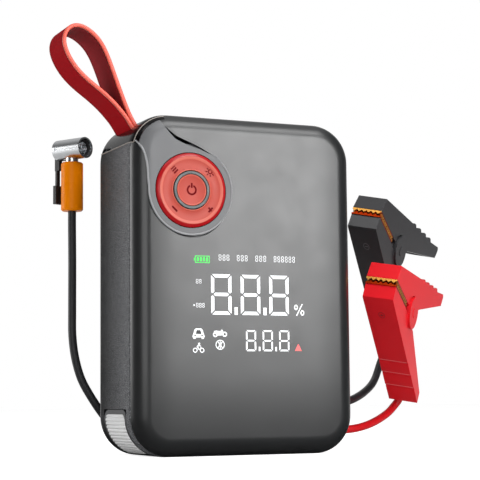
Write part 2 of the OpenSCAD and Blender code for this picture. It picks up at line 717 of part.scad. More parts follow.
module piston_rod() color("#a8adb2") {
  big_z = gear_at[1] - crank_r;
  difference() {
    union() {
      translate([gear_at[0], rod_y[1], big_z]) rotate([90, 0, 0])
        cylinder(r = big_end_r, h = rod_y[1] - rod_y[0]);
      block([gear_at[0] - 2.5, rod_y[0], piston_z + piston_h - 1],
            [gear_at[0] + 2.5, rod_y[1], big_z - crank_pin_r - 0.8]);
    }
    translate([gear_at[0], 1, big_z]) rotate([90, 0, 0]) cylinder(r = crank_pin_r + move_gap, h = 6);
  }
  translate([gear_at[0], cyl_y, piston_z]) cylinder(r = cyl_r - run_gap, h = piston_h, $fn = 72);
}

module gearbox_frame() color("#55585c") difference() {
  union() {
    slab(plate_y[0], plate_y[1]) {
      translate(motor_at) circle(motor_r + 1);
      translate(gear_at) circle(9);
      translate([gear_at[0] - 9, gear_at[1]]) square([18, mesh]);
      translate([gear_at[0] - 8, 40]) square([16, gear_at[1] - 40]);
      translate([motor_at[0] - 21.5, gear_at[1] + 2]) square([44, 7]);
    }
    for (x = [-18.5, 19.5]) translate([motor_at[0] + x, back_y - inner, gear_at[1] + 5.5]) rotate([90, 0, 0])
      cylinder(r = 3, h = back_y - inner - plate_y[1] + 0.5);
  }
  translate([motor_at[0], 0, motor_at[1]]) rotate([90, 0, 0]) cylinder(r = 5 + fit_gap, h = 20);
  translate([gear_at[0], 0, gear_at[1]]) rotate([90, 0, 0]) cylinder(r = shaft_r + run_gap, h = 20);
}

module cylinder_body() color("#b0b4b8") difference() {
  union() {
    translate([gear_at[0], cyl_y, cyl_z[0]]) cylinder(r = cyl_r + cyl_wall, h = cyl_z[1] - cyl_z[0]);
    block([gear_at[0] - 7, plate_y[1], 42], [gear_at[0] + 7, cyl_y - cyl_r - 0.8, 52]);
  }
  translate([gear_at[0], cyl_y, cyl_z[0] - 1]) cylinder(r = cyl_r, h = cyl_z[1] - cyl_z[0] + 2, $fn = 72);
}

head_z = 24.5;
nozzle_y = 12;

module cylinder_head() color("#8f9499") {
  translate([gear_at[0], cyl_y, head_z]) cylinder(r = cyl_r + cyl_wall, h = cyl_z[0] - head_z);
  translate([gear_at[0], nozzle_y, (head_z + cyl_z[0]) / 2]) rotate([90, 0, 0]) cylinder(r = 2, h = 6);
}

tube_run = [[0, 12.15, 27.25], [0, 14, 27.25], [0, 16.5, 26.6], [-3.5, 19, 21.5], [-8.5, 19, 14.5],
            [-12.4, 20.5, 11.5], [-12.8, 24, 11.4]];
tube_line = [for (p = tube_run) p + [motor_at[0], 0, 0]];

module air_tube() color("#2b2b2d") tube(curve(tube_line, 3), 2, 8);

// Air outlet, hose and chuck -------------------------------------------------------------

hose_start = [outlet[0] - 6.2, back_y + 10, 19.2];
hose_run = [[0, 0, 0], [-4.5, 0, 5.6], [-10.4, 1, 14.6], [-15.4, 3, 24.6], [-18.6, 4.5, 36.8],
            [-20, 5.5, 49.8], [-20, 6, 63.8], [-20, 6, 93.8], [-20.2, 6, 113.8], [-20.2, 6, 123.4]];
hose_line = [for (p = hose_run) hose_start + p];
arm_dir = unit(hose_line[0] - hose_line[1]);
arm_l = 10;
elbow_c = hose_line[0] + arm_dir * arm_l;

module air_elbow() color(gloss_black) {
  translate([outlet[0], hose_line[0][1], outlet[1]]) rotate([90, 0, 0])
    cylinder(r = outlet_r, h = hose_line[0][1] - tube_line[len(tube_line) - 1][1]);
  translate([outlet[0], back_y + 2, outlet[1]]) rotate([90, 0, 0]) cylinder(r = outlet_r + 2.4, h = 1.9);
  translate([elbow_c[0], elbow_c[1], elbow_c[2]]) sphere(r = 5);
  translate([elbow_c[0], elbow_c[1], elbow_c[2]])
    rotate([0, atan2(-arm_dir[0], -arm_dir[2]), 0]) cylinder(r = hose_r + 1.6, h = arm_l, $fn = 40);
}

module air_hose() color("#3a3b3d") tube(curve(hose_line, 4), hose_r, 10);

chuck_turn = -61.4;
chuck_z0 = hose_line[9][2];
head_h = chuck_z0 + barrel_h + 8;

// The frame of the chuck: Z up the hose, X along the head to its open mouth.
module chuck_frame() {
  translate([hose_line[9][0], hose_line[9][1], 0]) rotate([0, 0, chuck_turn]) children();
}

lever_s = -8;
lever_pin_r = 0.8;
lever_w = 2.6;
seal_depth = 3;
seal_r = head_r - 1;
bore_depth = 12;

module chuck_barrel() color("#f08a1c") chuck_frame() difference() {
  translate([0, 0, chuck_z0]) rotate_extrude() polygon([[0, 0], [barrel_r - 0.8, 0], [barrel_r, 0.8],
    [barrel_r, barrel_h - 0.8], [barrel_r - 0.8, barrel_h], [0, barrel_h]]);
  for (a = [20, 70]) rotate([0, 0, a])
    block([barrel_r - 0.9, -0.6, chuck_z0 + barrel_h - 11], [barrel_r + 1, 0.6, chuck_z0 + barrel_h + 1]);
}

module chuck_head() color("#c8ccd0") chuck_frame() difference() {
  union() {
    translate([-head_len / 2, 0, head_h]) rotate([0, 90, 0]) cylinder(r = head_r, h = head_len, $fn = 64);
    translate([0, 0, chuck_z0 + barrel_h]) cylinder(r = 3.6, h = head_h - chuck_z0 - barrel_h);
  }
  translate([head_len / 2 - bore_depth, 0, head_h]) rotate([0, 90, 0])
    cylinder(r = valve_r, h = bore_depth + 1, $fn = 64);
  translate([head_len / 2 - seal_depth, 0, head_h]) rotate([0, 90, 0])
    cylinder(r = seal_r, h = seal_depth + 1, $fn = 64);
  block([-head_len / 2 - 1, -lever_w / 2 - 0.2, head_h - head_r - 1],
        [lever_s + 4, lever_w / 2 + 0.2, head_h + 3.8]);
  translate([lever_s, 0, head_h]) rotate([90, 0, 0])
    cylinder(r = lever_pin_r + 0.02, h = 2 * head_r, center = true, $fn = 32);
}

module chuck_seal() color("#26262a") chuck_frame()
  translate([head_len / 2 - seal_depth, 0, head_h]) rotate([0, 90, 0]) rotate_extrude($fn = 64)
    polygon([[valve_r, 0], [seal_r - 0.02, 0], [seal_r - 0.02, 1.6], [valve_r + 0.5, 1.6]]);

module chuck_lever() color(gloss_black) chuck_frame() difference() {
  union() {
    translate([lever_s, 0, head_h]) rotate([90, 0, 0]) cylinder(r = 3, h = lever_w, center = true);
    block([lever_s - 3.6, -lever_w / 2, head_h - 4], [lever_s, lever_w / 2, head_h]);
    block([lever_s - 5, -lever_w / 2, head_h - 12], [lever_s - 1.4, lever_w / 2, head_h - 3.2]);
    block([lever_s - 4.6, -lever_w / 2, head_h - 22], [lever_s - 3, lever_w / 2, head_h - 11]);
    block([lever_s - 4.8, -2.9, head_h - 32], [lever_s - 2.4, 2.9, head_h - 21]);
  }
  translate([lever_s, 0, head_h]) rotate([90, 0, 0])
    cylinder(r = lever_pin_r + run_gap, h = 10, center = true, $fn = 32);
}

module lever_pin() color(steel) chuck_frame() translate([lever_s, 0, head_h]) rotate([90, 0, 0])
  cylinder(r = lever_pin_r, h = 2 * head_r - 0.3, center = true, $fn = 32);

// Plug and leads ---------------------------------------------------------------------------

// Both leads start at the plug's boots, so their points are measured from the middle between them.
lead_root = [socket_at[0] + plug_w / 2 + 11, back_y + 14, socket_at[1]];
red_run = [[0, 0, -6], [16, -1, -8], [35, -0.5, -8.6], [49, 3.5, -7.4], [63, 10, -4.2],
           [76, 16.5, 0.8], [83, 19.5, 5.6], [86.4, 18.8, 10], [83.6, 14.2, 14.2]];
black_run = [[0, 0, 6], [16, -1, 6.2], [31, 1.5, 7.6], [45, 9, 9.6], [60, 21, 13.5],
             [74, 34, 18.9], [83.5, 44, 25], [91, 50.5, 35], [96.2, 52.5, 43], [97, 49, 49],
             [92.6, 43.6, 53]];
red_line = [for (p = red_run) lead_root + p];
black_line = [for (p = black_run) lead_root + p];

module jump_plug() color("#202124") {
  blade = [socket_half[0] - 2.5, socket_half[1] - 2.5];
  block([socket_at[0] - blade[0], back_y - 11.5, socket_at[1] - blade[1]],
        [socket_at[0] + blade[0], back_y + 1, socket_at[1] + blade[1]]);
  hull() for (x = [-1, 1] * (plug_w / 2 - 2), z = [-1, 1] * (plug_h / 2 - 2))
    translate([socket_at[0] + x, back_y + 22, socket_at[1] + z]) rotate([90, 0, 0])
      cylinder(r = 2, h = 21.4, $fn = 24);
  for (p = [red_line[0], black_line[0]])
    translate([socket_at[0] + plug_w / 2 - 0.5, p[1], p[2]]) rotate([0, 90, 0])
      cylinder(r1 = 2 * lead_r, r2 = lead_r + 0.9, h = p[0] - socket_at[0] - plug_w / 2 + 0.5, $fn = 36);
}

module red_lead() color("#d01b22") tube(curve(red_line, 3), lead_r, 10);

module black_lead() color("#232325") tube(curve(black_line, 3), lead_r, 10);

// Clamps --------------------------------------------------------------------------------------

// Place and turn of each clamp: origin at the lower jaw's tip, X to the jaw, Z to the upper arm.
red_at = lead_root + [24.8, -64.2, 69.6];
red_turn = [-10.3, -28, -129.3];
black_at = lead_root + [34.1, -29.2, 115.8];
black_turn = [-12.9, -32.6, -131.4];

pivot = [-47, 20];
tail_in = [-arm_len + 1, -0.6];
tail_out = [-arm_len, -7.8];
handle_low = [-111, 64];
handle_end = [-111.5, 70];
handle_top = [-109.5, 72.4];
handle_root = [-53, 48];
handle_rise = 0.43;
jaw_a = [-1, -30];
jaw_split = 4.25;
lead_at = [-3.5, -3.6];
plate_t = 0.9;
pitch = 3;
hub_half = arm_w / 2 - 1.75;
ear_half = arm_w / 2 + 1.4;

module clamp_frame(red) {
  translate(red ? red_at : black_at) rotate(red ? red_turn : black_turn) children();
}

// A side outline of a clamp made solid across the width, from w0 to w1 along Y.
module across(w0, w1) slab(w0, w1) children();

// Height of the lower arm's inner edge at a place along the jaw.
function jaw_edge(a) = 9.2 + (1 - a) * 0.147;

// Three grip grooves in the outer face of the lower arm, at these places.
grip_a = [-69, -83, -98];
grip_half = 1.4;
grip_deep = 0.5;
edge_b = 0.3;
function outer_b(a) = edge_b + (a + 1) * (tail_out[1] - edge_b) / (1 - arm_len);

lower_outline = concat(
  [[-0.2, 0.9], [1, jaw_edge(1)], [-31, jaw_edge(-31)]],
  [[-60, 14.4], tail_in, tail_out],
  [for (i = [2, 1, 0], s = [-1, -0.5, 0.5, 1])
    [grip_a[i] + s * grip_half, outer_b(grip_a[i]) + (abs(s) < 1 ? grip_deep : 0)]],
  [[-1.2, edge_b]]);

upper_outline = concat(
  [[1.8, 23.8], [3, jaw_edge(3) + jaw_split], [-31, jaw_edge(-31) + jaw_split], [-38, 19.5]],
  [[-56, 22], [-60, 30], handle_low, handle_end, [-110.9, 71.6], handle_top],
  [for (i = [3:-1:0], s = [-1, 0, 1]) let (a = handle_root[0] - 5 - 11 * i)
    [a + s * 2.6, handle_root[1] + (handle_root[0] - a) * handle_rise + (s == 0 ? 1.1 : 0)]],
  [handle_root]);

module lower_arm() {
  tail_a = -arm_len + 4;
  difference() {
    union() {
      across(-arm_w / 2, arm_w / 2) polygon(lower_outline);
      for (s = [-1, 1]) across(s < 0 ? -ear_half : hub_half + 0.25, s < 0 ? -hub_half - 0.25 : ear_half)
        translate(pivot) circle(boss_r, $fn = 64);
    }
    across(-hub_half - 0.25, hub_half + 0.25) translate(pivot) circle(boss_r + 0.5, $fn = 64);
    across(-arm_w / 2 + arm_wall, arm_w / 2 - arm_wall)
      polygon([[-3.2, 3], [tail_a, outer_b(tail_a) + arm_wall], [tail_a, 12], [-60, 40], [-3.2, 30]]);
    translate([-arm_len + 10, lead_at[0], lead_at[1]]) rotate([0, -90, 0])
      cylinder(r = lead_r, h = 20, $fn = 36);
    translate([pivot[0], 0, pivot[1]]) rotate([90, 0, 0])
      cylinder(r = pivot_r + 0.02, h = 40, center = true, $fn = 40);
  }
}

module upper_arm() {
  difference() {
    union() {
      across(-arm_w / 2, arm_w / 2) polygon(upper_outline);
      across(-hub_half, hub_half) translate(pivot) circle(boss_r, $fn = 64);
    }
    for (s = [-1, 1]) across(s < 0 ? -arm_w : hub_half, s < 0 ? -hub_half : arm_w)
      translate(pivot) circle(boss_r + 0.6, $fn = 64);
    across(-arm_w / 2 + 2 * arm_wall, arm_w / 2 - 2 * arm_wall)
      polygon([[-3, 20.5], [-3, 10], [-30, 5], [-62, 5], [-108, 60], [-107, 64.5], [-56, 44.5]]);
    translate([pivot[0], 0, pivot[1]]) rotate([90, 0, 0])
      cylinder(r = pivot_r + run_gap, h = 40, center = true, $fn = 40);
  }
}

module pivot_pin() color(steel) translate([pivot[0], 0, pivot[1]]) rotate([90, 0, 0])
  cylinder(r = pivot_r, h = 2 * ear_half - 0.4, center = true, $fn = 40);

// Torsion spring around the pin: even curls, one leg to each arm.
spring_r = 4.2;
curls = 3;
curl_pitch = 2.4;
leg_low = [-66, -1.4];
leg_high = [-66, 47.8];
function coil(n) = [for (i = [0:n]) let (t = i / n, a = 360 * curls * t - 120)
  [pivot[0] + spring_r * cos(a), curl_pitch * curls * (t - 0.5), pivot[1] + spring_r * sin(a)]];

echo(spring_gap = curl_pitch - 2 * spring_wire_r);

module clamp_spring() color("#8d9196") {
  c = coil(8 * curls);
  first = c[0];
  last = c[len(c) - 1];
  tube(concat([[leg_low[0], first[1], leg_low[1]], [first[0] - 6, first[1], first[2] - 8]], c,
              [[last[0] - 5, last[1], last[2] + 10], [leg_high[0], last[1], leg_high[1]]]), spring_wire_r, 6);
}

// Copper jaw plates with saw teeth; the two rows mesh with a small gap.
teeth = floor((jaw_a[0] - jaw_a[1]) / pitch * 2);
function lower_teeth() = concat([for (i = [0:teeth]) let (a = jaw_a[0] - i * pitch / 2)
  [a, jaw_edge(a) + 0.01 + plate_t + (i % 2) * tooth_h]],
  [for (a = [jaw_a[0] - teeth * pitch / 2, jaw_a[0]]) [a, jaw_edge(a) + 0.01]]);
function upper_teeth() = concat([for (i = [0:teeth]) let (a = jaw_a[0] - i * pitch / 2)
  [a, jaw_edge(a) + jaw_split - 0.01 - plate_t - (1 - i % 2) * tooth_h]],
  [for (a = [jaw_a[0] - teeth * pitch / 2, jaw_a[0]]) [a, jaw_edge(a) + jaw_split - 0.01]]);

module lower_jaw() color(copper) across(-arm_w / 2 + 0.8, arm_w / 2 - 0.8) polygon(lower_teeth());

module upper_jaw() color(copper) across(-arm_w / 2 + 0.8, arm_w / 2 - 0.8) polygon(upper_teeth());

module red_lower_arm() color(red_plastic) clamp_frame(true) lower_arm();
module red_upper_arm() color(red_plastic) clamp_frame(true) upper_arm();
module red_pivot_pin() clamp_frame(true) pivot_pin();
module red_spring() clamp_frame(true) clamp_spring();
module red_lower_jaw() clamp_frame(true) lower_jaw();
module red_upper_jaw() clamp_frame(true) upper_jaw();
module black_lower_arm() color("#2e2e30") clamp_frame(false) lower_arm();
module black_upper_arm() color("#2e2e30") clamp_frame(false) upper_arm();
module black_pivot_pin() clamp_frame(false) pivot_pin();
module black_spring() clamp_frame(false) clamp_spring();
module black_lower_jaw() clamp_frame(false) lower_jaw();
module black_upper_jaw() clamp_frame(false) upper_jaw();

front_shell();
rear_shell();
side_wrap();
strap_saddle();
wrist_strap();
strap_pin();
control_panel();
rocker_ring();
ring_gimbal();
ring_bezel();
power_button();
switch_board();
light_guide();
display_board();
main_board();
battery_cells();
battery_tray();
compressor_motor();
motor_pinion();
crank_gear();
gearbox_frame();
piston_rod();
cylinder_body();  // cylinder
cylinder_head();
air_tube();
air_elbow();
air_hose();
chuck_barrel();
chuck_head();
chuck_seal();
chuck_lever();
lever_pin();
jump_socket();
jump_plug();
red_lead();
black_lead();
lamp_bezel();
lamp_lens();
lamp_reflector();
lamp_board();
usb_ports();
port_flap();
flap_pin();
case_screws();
red_lower_arm();
red_upper_arm();
red_pivot_pin();
red_spring();
red_lower_jaw();
red_upper_jaw();
black_lower_arm();
black_upper_arm();
black_pivot_pin();
black_spring();
black_lower_jaw();
black_upper_jaw();
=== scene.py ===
import math

import bmesh
import bpy
from mathutils import Euler, Matrix, Vector


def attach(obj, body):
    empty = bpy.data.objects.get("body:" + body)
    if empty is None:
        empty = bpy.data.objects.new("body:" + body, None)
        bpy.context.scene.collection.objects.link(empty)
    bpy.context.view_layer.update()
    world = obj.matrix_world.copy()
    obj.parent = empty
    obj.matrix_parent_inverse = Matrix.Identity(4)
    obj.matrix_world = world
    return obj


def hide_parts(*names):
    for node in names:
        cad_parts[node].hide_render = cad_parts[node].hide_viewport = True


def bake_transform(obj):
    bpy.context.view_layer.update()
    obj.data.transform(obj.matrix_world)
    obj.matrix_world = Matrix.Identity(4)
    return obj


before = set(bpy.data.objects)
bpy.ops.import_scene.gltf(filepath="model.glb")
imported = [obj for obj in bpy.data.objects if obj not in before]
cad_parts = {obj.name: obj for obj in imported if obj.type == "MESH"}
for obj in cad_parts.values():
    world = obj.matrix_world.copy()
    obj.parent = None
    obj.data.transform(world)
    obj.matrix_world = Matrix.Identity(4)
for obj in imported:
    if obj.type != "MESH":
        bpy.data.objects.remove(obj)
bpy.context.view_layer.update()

# Camera ----------------------------------------------------------------------------
# A short telephoto stands 0.9 m off, to the left of the pack's front, a little above
# the table, and looks slightly up at it.


def mm(*point):
    """A point given in millimetres, in metres."""
    return Vector(point) / 1000


turn, pitch, roll = (math.radians(a) for a in (24.305, 5.758, -0.521))
ahead = Vector((math.sin(turn) * math.cos(pitch), math.cos(turn) * math.cos(pitch), math.sin(pitch)))
right = Vector((math.cos(turn), -math.sin(turn), 0))
up = right.cross(ahead)
right, up = (right * math.cos(roll) + up * math.sin(roll), up * math.cos(roll) - right * math.sin(roll))
look_at = mm(9.9, 0, 123.811)
lens = bpy.data.cameras.new("camera")
lens.lens = 114.85
lens.sensor_width = 36
camera = bpy.data.objects.new("camera", lens)
camera.matrix_world = Matrix.Translation(look_at - ahead * 0.895616) @ Matrix(
    (right, up, -ahead)).transposed().to_4x4()
bpy.context.collection.objects.link(camera)
bpy.context.scene.camera = camera

# Air hose ----------------------------------------------------------------------------
# Extruded nitrile rubber over a braid. It leaves the swivel elbow low on the back, bends
# round the left side and stands up stiffly to the orange barrel of the chuck.


def colour(code):
    """An sRGB hex value as linear red, green, blue, alpha."""
    parts = [int(code[i:i + 2], 16) / 255 for i in (1, 3, 5)]
    return [p / 12.92 if p <= 0.04045 else ((p + 0.055) / 1.055) ** 2.4 for p in parts] + [1]


def add(made, kind, inputs=None, **settings):
    """Adds a node to a material or world; an input is another node's socket or a plain value."""
    node = made.node_tree.nodes.new(kind)
    for name, value in settings.items():
        setattr(node, name, value)
    for place, value in (inputs or {}).items():
        if isinstance(value, bpy.types.NodeSocket):
            made.node_tree.links.new(value, node.inputs[place])
        else:
            node.inputs[place].default_value = value
    return node


def surface(name, code, roughness, metallic=0, mottle=0.06, patch=9, rub=0.06, grain=0.5, depth=0.012,
            **more):
    """A finish with its own cloudiness, uneven gloss and moulded or machined grain.

    patch and grain are the sizes in mm of the clouds and of the grain, depth is how deep the
    grain is in mm, mottle and rub are how far the colour and the roughness wander.
    """
    made = bpy.data.materials.new(name)
    made.use_nodes = True
    shader = made.node_tree.nodes["Principled BSDF"]
    place = add(made, "ShaderNodeTexCoord").outputs["Object"]
    cloud = add(made, "ShaderNodeTexNoise", {"Vector": place, "Scale": 1000 / patch, "Detail": 3})
    tone = colour(code)
    dark = [c * (1 - mottle) for c in tone[:3]] + [1]
    light = [min(1, c * (1 + mottle)) for c in tone[:3]] + [1]
    mix = add(made, "ShaderNodeMix", {0: cloud.outputs["Fac"], 6: dark, 7: light}, data_type="RGBA")
    gloss = add(made, "ShaderNodeMapRange", {0: cloud.outputs["Fac"], 1: 0.3, 2: 0.7,
                                             3: max(0.02, roughness - rub), 4: min(1, roughness + rub)})
    fine = add(made, "ShaderNodeTexNoise", {"Vector": place, "Scale": 1000 / grain, "Detail": 2})
    bump = add(made, "ShaderNodeBump",
               {"Strength": 1, "Distance": depth / 1000, "Height": fine.outputs["Fac"]})
    links = made.node_tree.links
    links.new(mix.outputs[2], shader.inputs["Base Color"])
    links.new(gloss.outputs[0], shader.inputs["Roughness"])
    links.new(bump.outputs["Normal"], shader.inputs["Normal"])
    shader.inputs["Metallic"].default_value = metallic
    for key, value in more.items():
        shader.inputs[key.replace("_", " ").title().replace("Ior", "IOR")].default_value = value
    return made


def on_curve(a, b, c, d, t):
    """The point at t between b and c on the smooth curve through a, b, c and d."""
    return 0.5 * (2 * b + (c - a) * t + (2 * a - 5 * b + 4 * c - d) * t * t
                  + (3 * b - a - 3 * c + d) * t ** 3)


def smooth(points, steps):
    """Points along a smooth curve through the given ones, with steps between two of them."""
    points = [Vector(p) for p in points]
    ends = [2 * points[0] - points[1], *points, 2 * points[-1] - points[-2]]
    line = []
    for a, b, c, d in zip(ends, ends[1:], ends[2:], ends[3:]):
        for i in range(steps):
            line.append(on_curve(a, b, c, d, i / steps))
    return line + [points[-1]]


def flexible(name, route, steps, radius, finish):
    """A hose or lead swept along a smooth route in mm, as one spline."""
    line = smooth(route, steps)
    curve = bpy.data.curves.new(name, "CURVE")
    curve.dimensions = "3D"
    curve.bevel_depth = radius / 1000
    curve.bevel_resolution = 6
    curve.resolution_u = 4
    curve.use_fill_caps = True
    spline = curve.splines.new("NURBS")
    spline.points.add(len(line) - 1)
    for spot, p in zip(spline.points, line):
        spot.co = (*(p / 1000), 1)
    spline.order_u = 4
    spline.use_endpoint_u = True
    curve.materials.append(finish)
    piece = bpy.data.objects.new(name, curve)
    bpy.context.collection.objects.link(piece)
    length = sum((a - b).length for a, b in zip(line, line[1:])) / 1000
    return piece, mm(*line[0]), length


# Nitrile rubber, extruded and talc-dusted: nearly black with a wide, dull shine.
nitrile_rubber = surface("extruded nitrile rubber", "#2c2d2f", 0.5, grain=0.7, depth=0.02, mottle=0.15)
hose_radius = 2.4
hose_route = [(-57, 42, 19.2), (-61.5, 42, 24.8), (-67.4, 43, 33.8), (-72.4, 45, 43.8), (-75.6, 46.5, 56),
              (-77, 47.5, 69), (-77, 48, 83), (-77, 48, 113), (-77.2, 48, 133), (-77.2, 48, 142.6)]
hose, hose_exit, hose_length = flexible("air_hose_rubber", hose_route, 4, hose_radius, nitrile_rubber)
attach(hose, "pack")
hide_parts("air_hose")

# Swivel elbow, air tube and tyre chuck ------------------------------------------------
# The elbow and the lever are moulded nylon, the barrel is an orange moulding pressed over
# the hose end, and the head is turned brass with satin chrome that grips the valve.


def dress(node, finish, edge=0.2):
    """Gives a node from the frame its finish and edges rounded by edge mm."""
    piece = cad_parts[node]
    piece.data.materials.clear()
    piece.data.materials.append(finish)
    if "custom_normal" in piece.data.attributes:
        piece.data.attributes.remove(piece.data.attributes["custom_normal"])
    piece.data.shade_smooth()
    piece.modifiers.new("joined", "WELD").merge_threshold = 1e-6
    flat = piece.modifiers.new("plain faces", "DECIMATE")
    flat.decimate_type = "DISSOLVE"
    flat.angle_limit = math.radians(0.5)
    ease(piece, edge)


def ease(piece, edge):
    """Rounds the sharp edges of a piece by edge mm."""
    bevel = piece.modifiers.new("eased edges", "BEVEL")
    bevel.width = edge / 1000
    bevel.segments = 2
    bevel.limit_method = "ANGLE"
    bevel.angle_limit = math.radians(35)
    bevel.harden_normals = True
    return bevel


# Glass-filled nylon, moulded: black, slightly shiny, with a faint cloudy skin.
moulded_nylon = surface("moulded nylon", "#1b1b1d", 0.34, mottle=0.12, grain=0.6, depth=0.01)
# ABS dyed in the mass and moulded in a polished tool: warm orange with clear highlights.
orange_abs = surface("orange moulded ABS", "#ff8c00", 0.3, mottle=0.04, grain=0.8, depth=0.006,
                     specular_ior_level=0.1)
# Satin chrome over machined brass: bright grey with fine turning marks that blur the shine.
satin_chrome = surface("satin chrome plate", "#e4e6e8", 0.26, metallic=1, mottle=0.03, patch=8, rub=0.01,
                       grain=0.3, depth=0.001)
# Nitrile seal: matt black.
seal_rubber = surface("moulded seal rubber", "#18181a", 0.62, grain=0.4, depth=0.02)
# Zinc-plated steel pin: pale grey metal, a little uneven.
zinc_steel = surface("zinc plated steel", "#b4b7bb", 0.3, metallic=1, mottle=0.08, patch=3, grain=0.25,
                     depth=0.005)
dress("air_elbow", moulded_nylon, 0.4)
dress("air_tube", nitrile_rubber, 0.1)
dress("chuck_barrel", orange_abs, 0.3)
dress("chuck_head", satin_chrome, 0.5)
dress("chuck_seal", seal_rubber, 0.1)
dress("chuck_lever", moulded_nylon, 0.5)
dress("lever_pin", zinc_steel, 0.15)

# Jump leads and plug -------------------------------------------------------------------
# Silicone-jacketed copper leads. A right-angled plug sits in the socket low on the back,
# and the leads leave its two tapered boots, pass behind the case and turn up to the clamps.

# Silicone jacket, extruded: full red with a soft, slightly greasy shine.
red_silicone_jacket = surface("red silicone jacket", "#d3101a", 0.36, grain=0.8, depth=0.02, mottle=0.05)
# The same jacket in black, where only the highlight shows.
black_silicone_jacket = surface("black silicone jacket", "#232326", 0.4, grain=0.8, depth=0.02, mottle=0.12)
# Moulded-on PVC plug body: black, faintly textured.
plug_pvc = surface("moulded PVC plug", "#202124", 0.45, grain=0.5, depth=0.02, mottle=0.1)
lead_radius = 2.5
lead_routes = {
    "red": [(66, 46, 14), (82, 45, 12), (101, 45.5, 11.4), (115, 49.5, 12.6), (129, 56, 15.8),
            (142, 62.5, 20.8),
            (149, 65.5, 25.6), (152.4, 64.8, 30), (149.6, 60.2, 34.2)],
    "black": [(66, 46, 26), (82, 45, 26.2), (97, 47.5, 27.6), (111, 55, 29.6), (126, 67, 33.5),
              (140, 80, 38.9),
              (149.5, 90, 45), (157, 96.5, 55), (162.2, 98.5, 63), (163, 95, 69), (158.6, 89.6, 73)]}
for side, jacket in (("red", red_silicone_jacket), ("black", black_silicone_jacket)):
    lead, lead_exit, lead_length = flexible(side + "_jump_lead", lead_routes[side], 3, lead_radius, jacket)
    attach(lead, "pack")
    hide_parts(side + "_lead")
dress("jump_plug", plug_pvc, 0.5)

# Front cover ---------------------------------------------------------------------------
# One ABS moulding with widely rounded edges and a satin front. It is open for the control
# panel and the strap corner, and thin enough over the display for its marks to shine through.

case_corner = 22
case_x = 46
case_z = (22, 168)
case_edge = 10
edge_start = 22


def case_ring(inset, y):
    """Outline of the case, drawn in by inset, at depth y, with points close beside each corner's arc."""
    points = []
    radius = case_corner - inset
    for x, z, start in ((case_x, case_z[0], -90), (case_x, case_z[1], 0),
                        (-case_x, case_z[1], 90), (-case_x, case_z[0], 180)):
        for i in range(-1, 18):
            a = math.radians(start + 90 * min(max(i, 0), 16) / 16)
            beside = 1.5 * (i == 17) - 1.5 * (i == -1)
            points.append((x + radius * math.cos(a) - beside * math.sin(a), y,
                           z + radius * math.sin(a) + beside * math.cos(a)))
    return points


def rounding(radius, low, high, side, steps=10):
    """Rings round the edge of the front (side -1) or back (side 1), from angle low to high."""
    rings = []
    for i in range(steps + 1):
        a = math.radians(low + (high - low) * i / steps)
        rings.append(case_ring(case_edge - radius * math.cos(a), side * (edge_start + radius * math.sin(a))))
    return rings


def solid(name, corners, faces):
    """A mesh piece from corners in mm, with smooth faces and crisp sharp edges."""
    mesh = bpy.data.meshes.new(name)
    mesh.from_pydata([mm(*c) for c in corners], [], faces)
    tidy(mesh)
    piece = bpy.data.objects.new(name, mesh)
    bpy.context.collection.objects.link(piece)
    return piece


def tidy(mesh):
    """Joins doubled corners, turns the faces outwards and marks the sharp edges."""
    work = bmesh.new()
    work.from_mesh(mesh)
    bmesh.ops.remove_doubles(work, verts=work.verts, dist=2e-6)
    bmesh.ops.dissolve_degenerate(work, dist=1e-6, edges=work.edges)
    bmesh.ops.recalc_face_normals(work, faces=work.faces)
    work.to_mesh(mesh)
    work.free()
    mesh.shade_smooth()
    mesh.set_sharp_from_angle(angle=math.radians(32))


def loft(name, rings, closed=False):
    """A solid through rings of equally many points; the ends are capped, or joined if closed."""
    n = len(rings[0])
    k = len(rings)
    faces = [(i * n + j, i * n + (j + 1) % n, (i + 1) % k * n + (j + 1) % n, (i + 1) % k * n + j)
             for i in range(k if closed else k - 1) for j in range(n)]
    if not closed:
        faces += [tuple(reversed(range(n))), tuple(range((k - 1) * n, k * n))]
    return solid(name, [p for ring in rings for p in ring], faces)


def slab(name, outline, y0, y1):
    """An outline in x and z made solid from depth y0 to y1."""
    return loft(name, [[(x, y, z) for x, z in outline] for y in (y0, y1)])


def block(name, low, high):
    """A box from its two corners."""
    return slab(name, [(low[0], low[2]), (high[0], low[2]), (high[0], high[2]), (low[0], high[2])], low[1],
                high[1])


def arc(centre, radius, start, end, steps):
    """Points along an arc in x and z."""
    angles = [math.radians(start + (end - start) * i / steps) for i in range(steps + 1)]
    return [(centre[0] + radius * math.cos(a), centre[1] + radius * math.sin(a)) for a in angles]


def sector(centre, inner, outer, start, end):
    """A piece of a ring between two radii and two angles."""
    return arc(centre, outer, start, end, 32) + arc(centre, inner, end, start, 32)


def carve(piece, *tools, how="DIFFERENCE"):
    """Cuts the tools out of a piece, or joins or intersects them, and keeps the result as its mesh."""
    for tool in tools:
        cut = piece.modifiers.new("cut", "BOOLEAN")
        cut.solver = "EXACT"
        cut.operation = how
        cut.object = tool
    mesh = bpy.data.meshes.new_from_object(piece.evaluated_get(bpy.context.evaluated_depsgraph_get()))
    piece.modifiers.clear()
    piece.data = mesh
    tidy(mesh)
    for tool in tools:
        bpy.data.objects.remove(tool)


def wire(name, path, radii):
    """A round wire through points in mm, with a radius at each."""
    path = [Vector(p) for p in path]
    side = Vector((0, 1, 0.01))
    rings = []
    for i, p in enumerate(path):
        run = (path[min(i + 1, len(path) - 1)] - path[max(i - 1, 0)]).normalized()
        side = (side - run * side.dot(run)).normalized()
        other = run.cross(side)
        turns = [math.radians(45 * k) for k in range(8)]
        rings.append([tuple(p + radii[i] * (side * math.cos(a) + other * math.sin(a))) for a in turns])
    return loft(name, rings)


